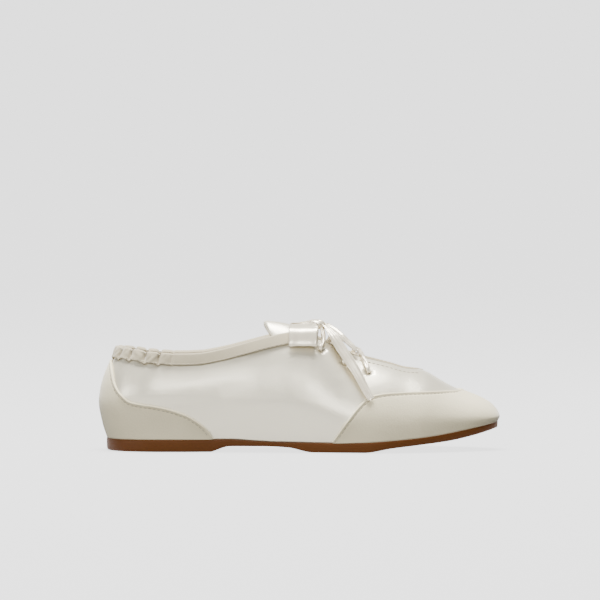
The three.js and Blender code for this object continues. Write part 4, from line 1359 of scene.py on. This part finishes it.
# %% Tie the knot
def make_knot():
    deselect()
    bpy.ops.mesh.primitive_uv_sphere_add(segments=72, ring_count=48, radius=0.5)
    piece = bpy.context.object
    piece.name = "bow_knot_wrap"
    unit = np.array([v.co for v in piece.data.vertices]) * 2
    pinch = 1 - 0.16 * np.exp(-((unit[:, 0] / 0.22) ** 2)) * np.exp(-(((unit[:, 1] + 0.25) / 0.3) ** 2))
    deep = 0.055 * np.cos(9 * unit[:, 1] + 1.8 * unit[:, 0] + 0.7)
    fine = 0.025 * np.cos(19 * unit[:, 1] - unit[:, 0])
    creases = 1 + deep + fine
    squared = np.sign(unit) * np.abs(unit) ** 0.85
    half = (KNOT["length"] / 2, KNOT["width"] / 2, KNOT["height"] / 2)
    shaped = squared * (creases * pinch)[:, None] * half
    piece.data.vertices.foreach_set("co", to_frame(knot_centre + shaped * 0.98).ravel())
    piece.data.materials.append(RIBBON)
    bpy.ops.object.shade_smooth()
    finish_piece(piece, "shoe", "ribbon", "bow_knot")


make_knot()

# %% [markdown]
# ## The loops and tails
# A loop runs out from the knot, down, and back under itself, gathered at both ends. A tail runs down over
# the satin, folded along its length and narrower towards its end. Each is a closed strip of even thickness
# laid across a curve, so it can be turned as one piece about its root at the knot.

# %% Loops and tails
RIBBON_CLOTH = 0.55


def ribbon_sections(centres, facing, width, dish, pleats, across=23):
    """Closed flat sections: dish bends the ribbon along its length, pleats ripple it across."""
    along = np.gradient(centres, axis=0)
    along /= np.linalg.norm(along, axis=1, keepdims=True)
    wide = np.cross(along, facing)
    wide /= np.linalg.norm(wide, axis=1, keepdims=True)
    normal = np.cross(wide, along)
    share = np.linspace(-1, 1, across)
    height = dish[:, None] * (share**2 - 0.4) + pleats[:, None] * np.cos(share * 7.5 + 0.6)
    sideways = wide[:, None] * (share * width[:, None] / 2)[..., None]
    face = centres[:, None] + sideways + normal[:, None] * height[..., None]
    step = normal[:, None] * RIBBON_CLOTH / 2
    return np.concatenate([face + step, (face - step)[:, ::-1]], axis=1)


LOOP_WAY = [  # x, z and the gap from the satin
    (133.5, 79.8, 6.5), (130.8, 78.8, 8), (129.9, 76.6, 9.4), (129.7, 72.5, 7.5), (129.7, 68.6, 5.6),
    (129.7, 66.9, 4.4), (129.7, 68.3, 3.7), (129.8, 72.3, 5), (130.6, 75.8, 5.6), (133, 77.9, 4.6),
]
SIDE_TAIL = [  # x, z and the offset from the satin
    (145.5, 70.0, 4.8), (151.8, 61.8, 4.1), (158.5, 53.6, 3.7), (164.6, 45.4, 3.4), (170, 36, 2.8),
    (172.5, 32.6, 2.6),
]
TOP_TAIL = [(149.5, 69.5, 5), (155, 64.8, 5), (159.5, 61.5, 4.6), (161.8, 60, 4)]
SIDE_START, TOP_START = (4.4, -7.4, 0.2), (6.2, -2, 0.5)  # from the knot's centre


def hang_ribbon(piece, node, body, length):
    """Hides the frame's piece, hangs the ribbon on its body and prints its length."""
    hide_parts(node)
    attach(piece, body)
    print(piece.name, "ribbon length", round(length, 1), "mm")


def make_loop(side, name, node, body):
    def beside(x, z, gap):
        point = surface_point(x, z, side, 0)
        return np.array([point[0], point[1] + side * gap, z])

    def root(up):
        return knot_centre + (-2, side * 8.1, up * 1.4)

    route = catmull_rom([root(1), *[beside(*place) for place in LOOP_WAY], root(-1)], 16)
    run = run_along(route)
    t = run / run[-1]
    full = smooth(np.minimum(t, 1 - t) / 0.24)
    width = 6 + 12 * full + 0.5 * np.sin(9 * t)
    along = np.gradient(route, axis=0)
    facing = np.cross(along, (1.0, 0, 0))
    dish = 0.55 * np.sin(np.pi * t) - 0.2
    pleats = 0.42 * (1 - full) + 0.10
    piece = rope_of(name, ribbon_sections(route, facing, width, dish, pleats), RIBBON)
    hang_ribbon(piece, node, body, float(run[-1]))


def make_tail(name, node, body, route, start):
    places = [surface_point(x, z, LATERAL, offset) for x, z, offset in route]
    centres = catmull_rom([knot_centre + start, *places], 14)
    outwards = [surface_point(x, z, LATERAL, 2) - surface_point(x, z, LATERAL, 0) for x, z, _ in route]
    outwards = np.array(outwards)
    run = run_along(centres)
    t = run / run[-1]
    shares = np.linspace(0, 1, len(route))
    facing = np.stack([np.interp(t, shares, outwards[:, i]) for i in range(3)], axis=1)
    width = (3.5 + 6.0 * smooth(t / 0.3)) * (1 - 0.55 * t)
    sections = ribbon_sections(centres, facing, width, 0.9 - 0.5 * t, 0.30 * (1 - 0.6 * t), 17)
    piece = rope_of(name, sections, RIBBON)
    hang_ribbon(piece, node, body, float(run[-1]))


make_loop(LATERAL, "bow_loop_lateral_ribbon", "bow_loop_lateral", "loop_lateral")
make_loop(MEDIAL, "bow_loop_medial_ribbon", "bow_loop_medial", "loop_medial")
make_tail("bow_tail_side_ribbon", "bow_tail_side", "tail_side", SIDE_TAIL, SIDE_START)
make_tail("bow_tail_top_ribbon", "bow_tail_top", "tail_top", TOP_TAIL, TOP_START)

# %% [markdown]
# ## Finish
# The looks may stand a few millimetres proud of the plain frame. The triangles of the shown pieces are
# counted.

# %% Count the triangles
bpy.context.view_layer.update()
meshes = [piece.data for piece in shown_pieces() if piece.type == "MESH"]
print("triangles", sum(len(mesh.loop_triangles) or 2 * len(mesh.polygons) for mesh in meshes))
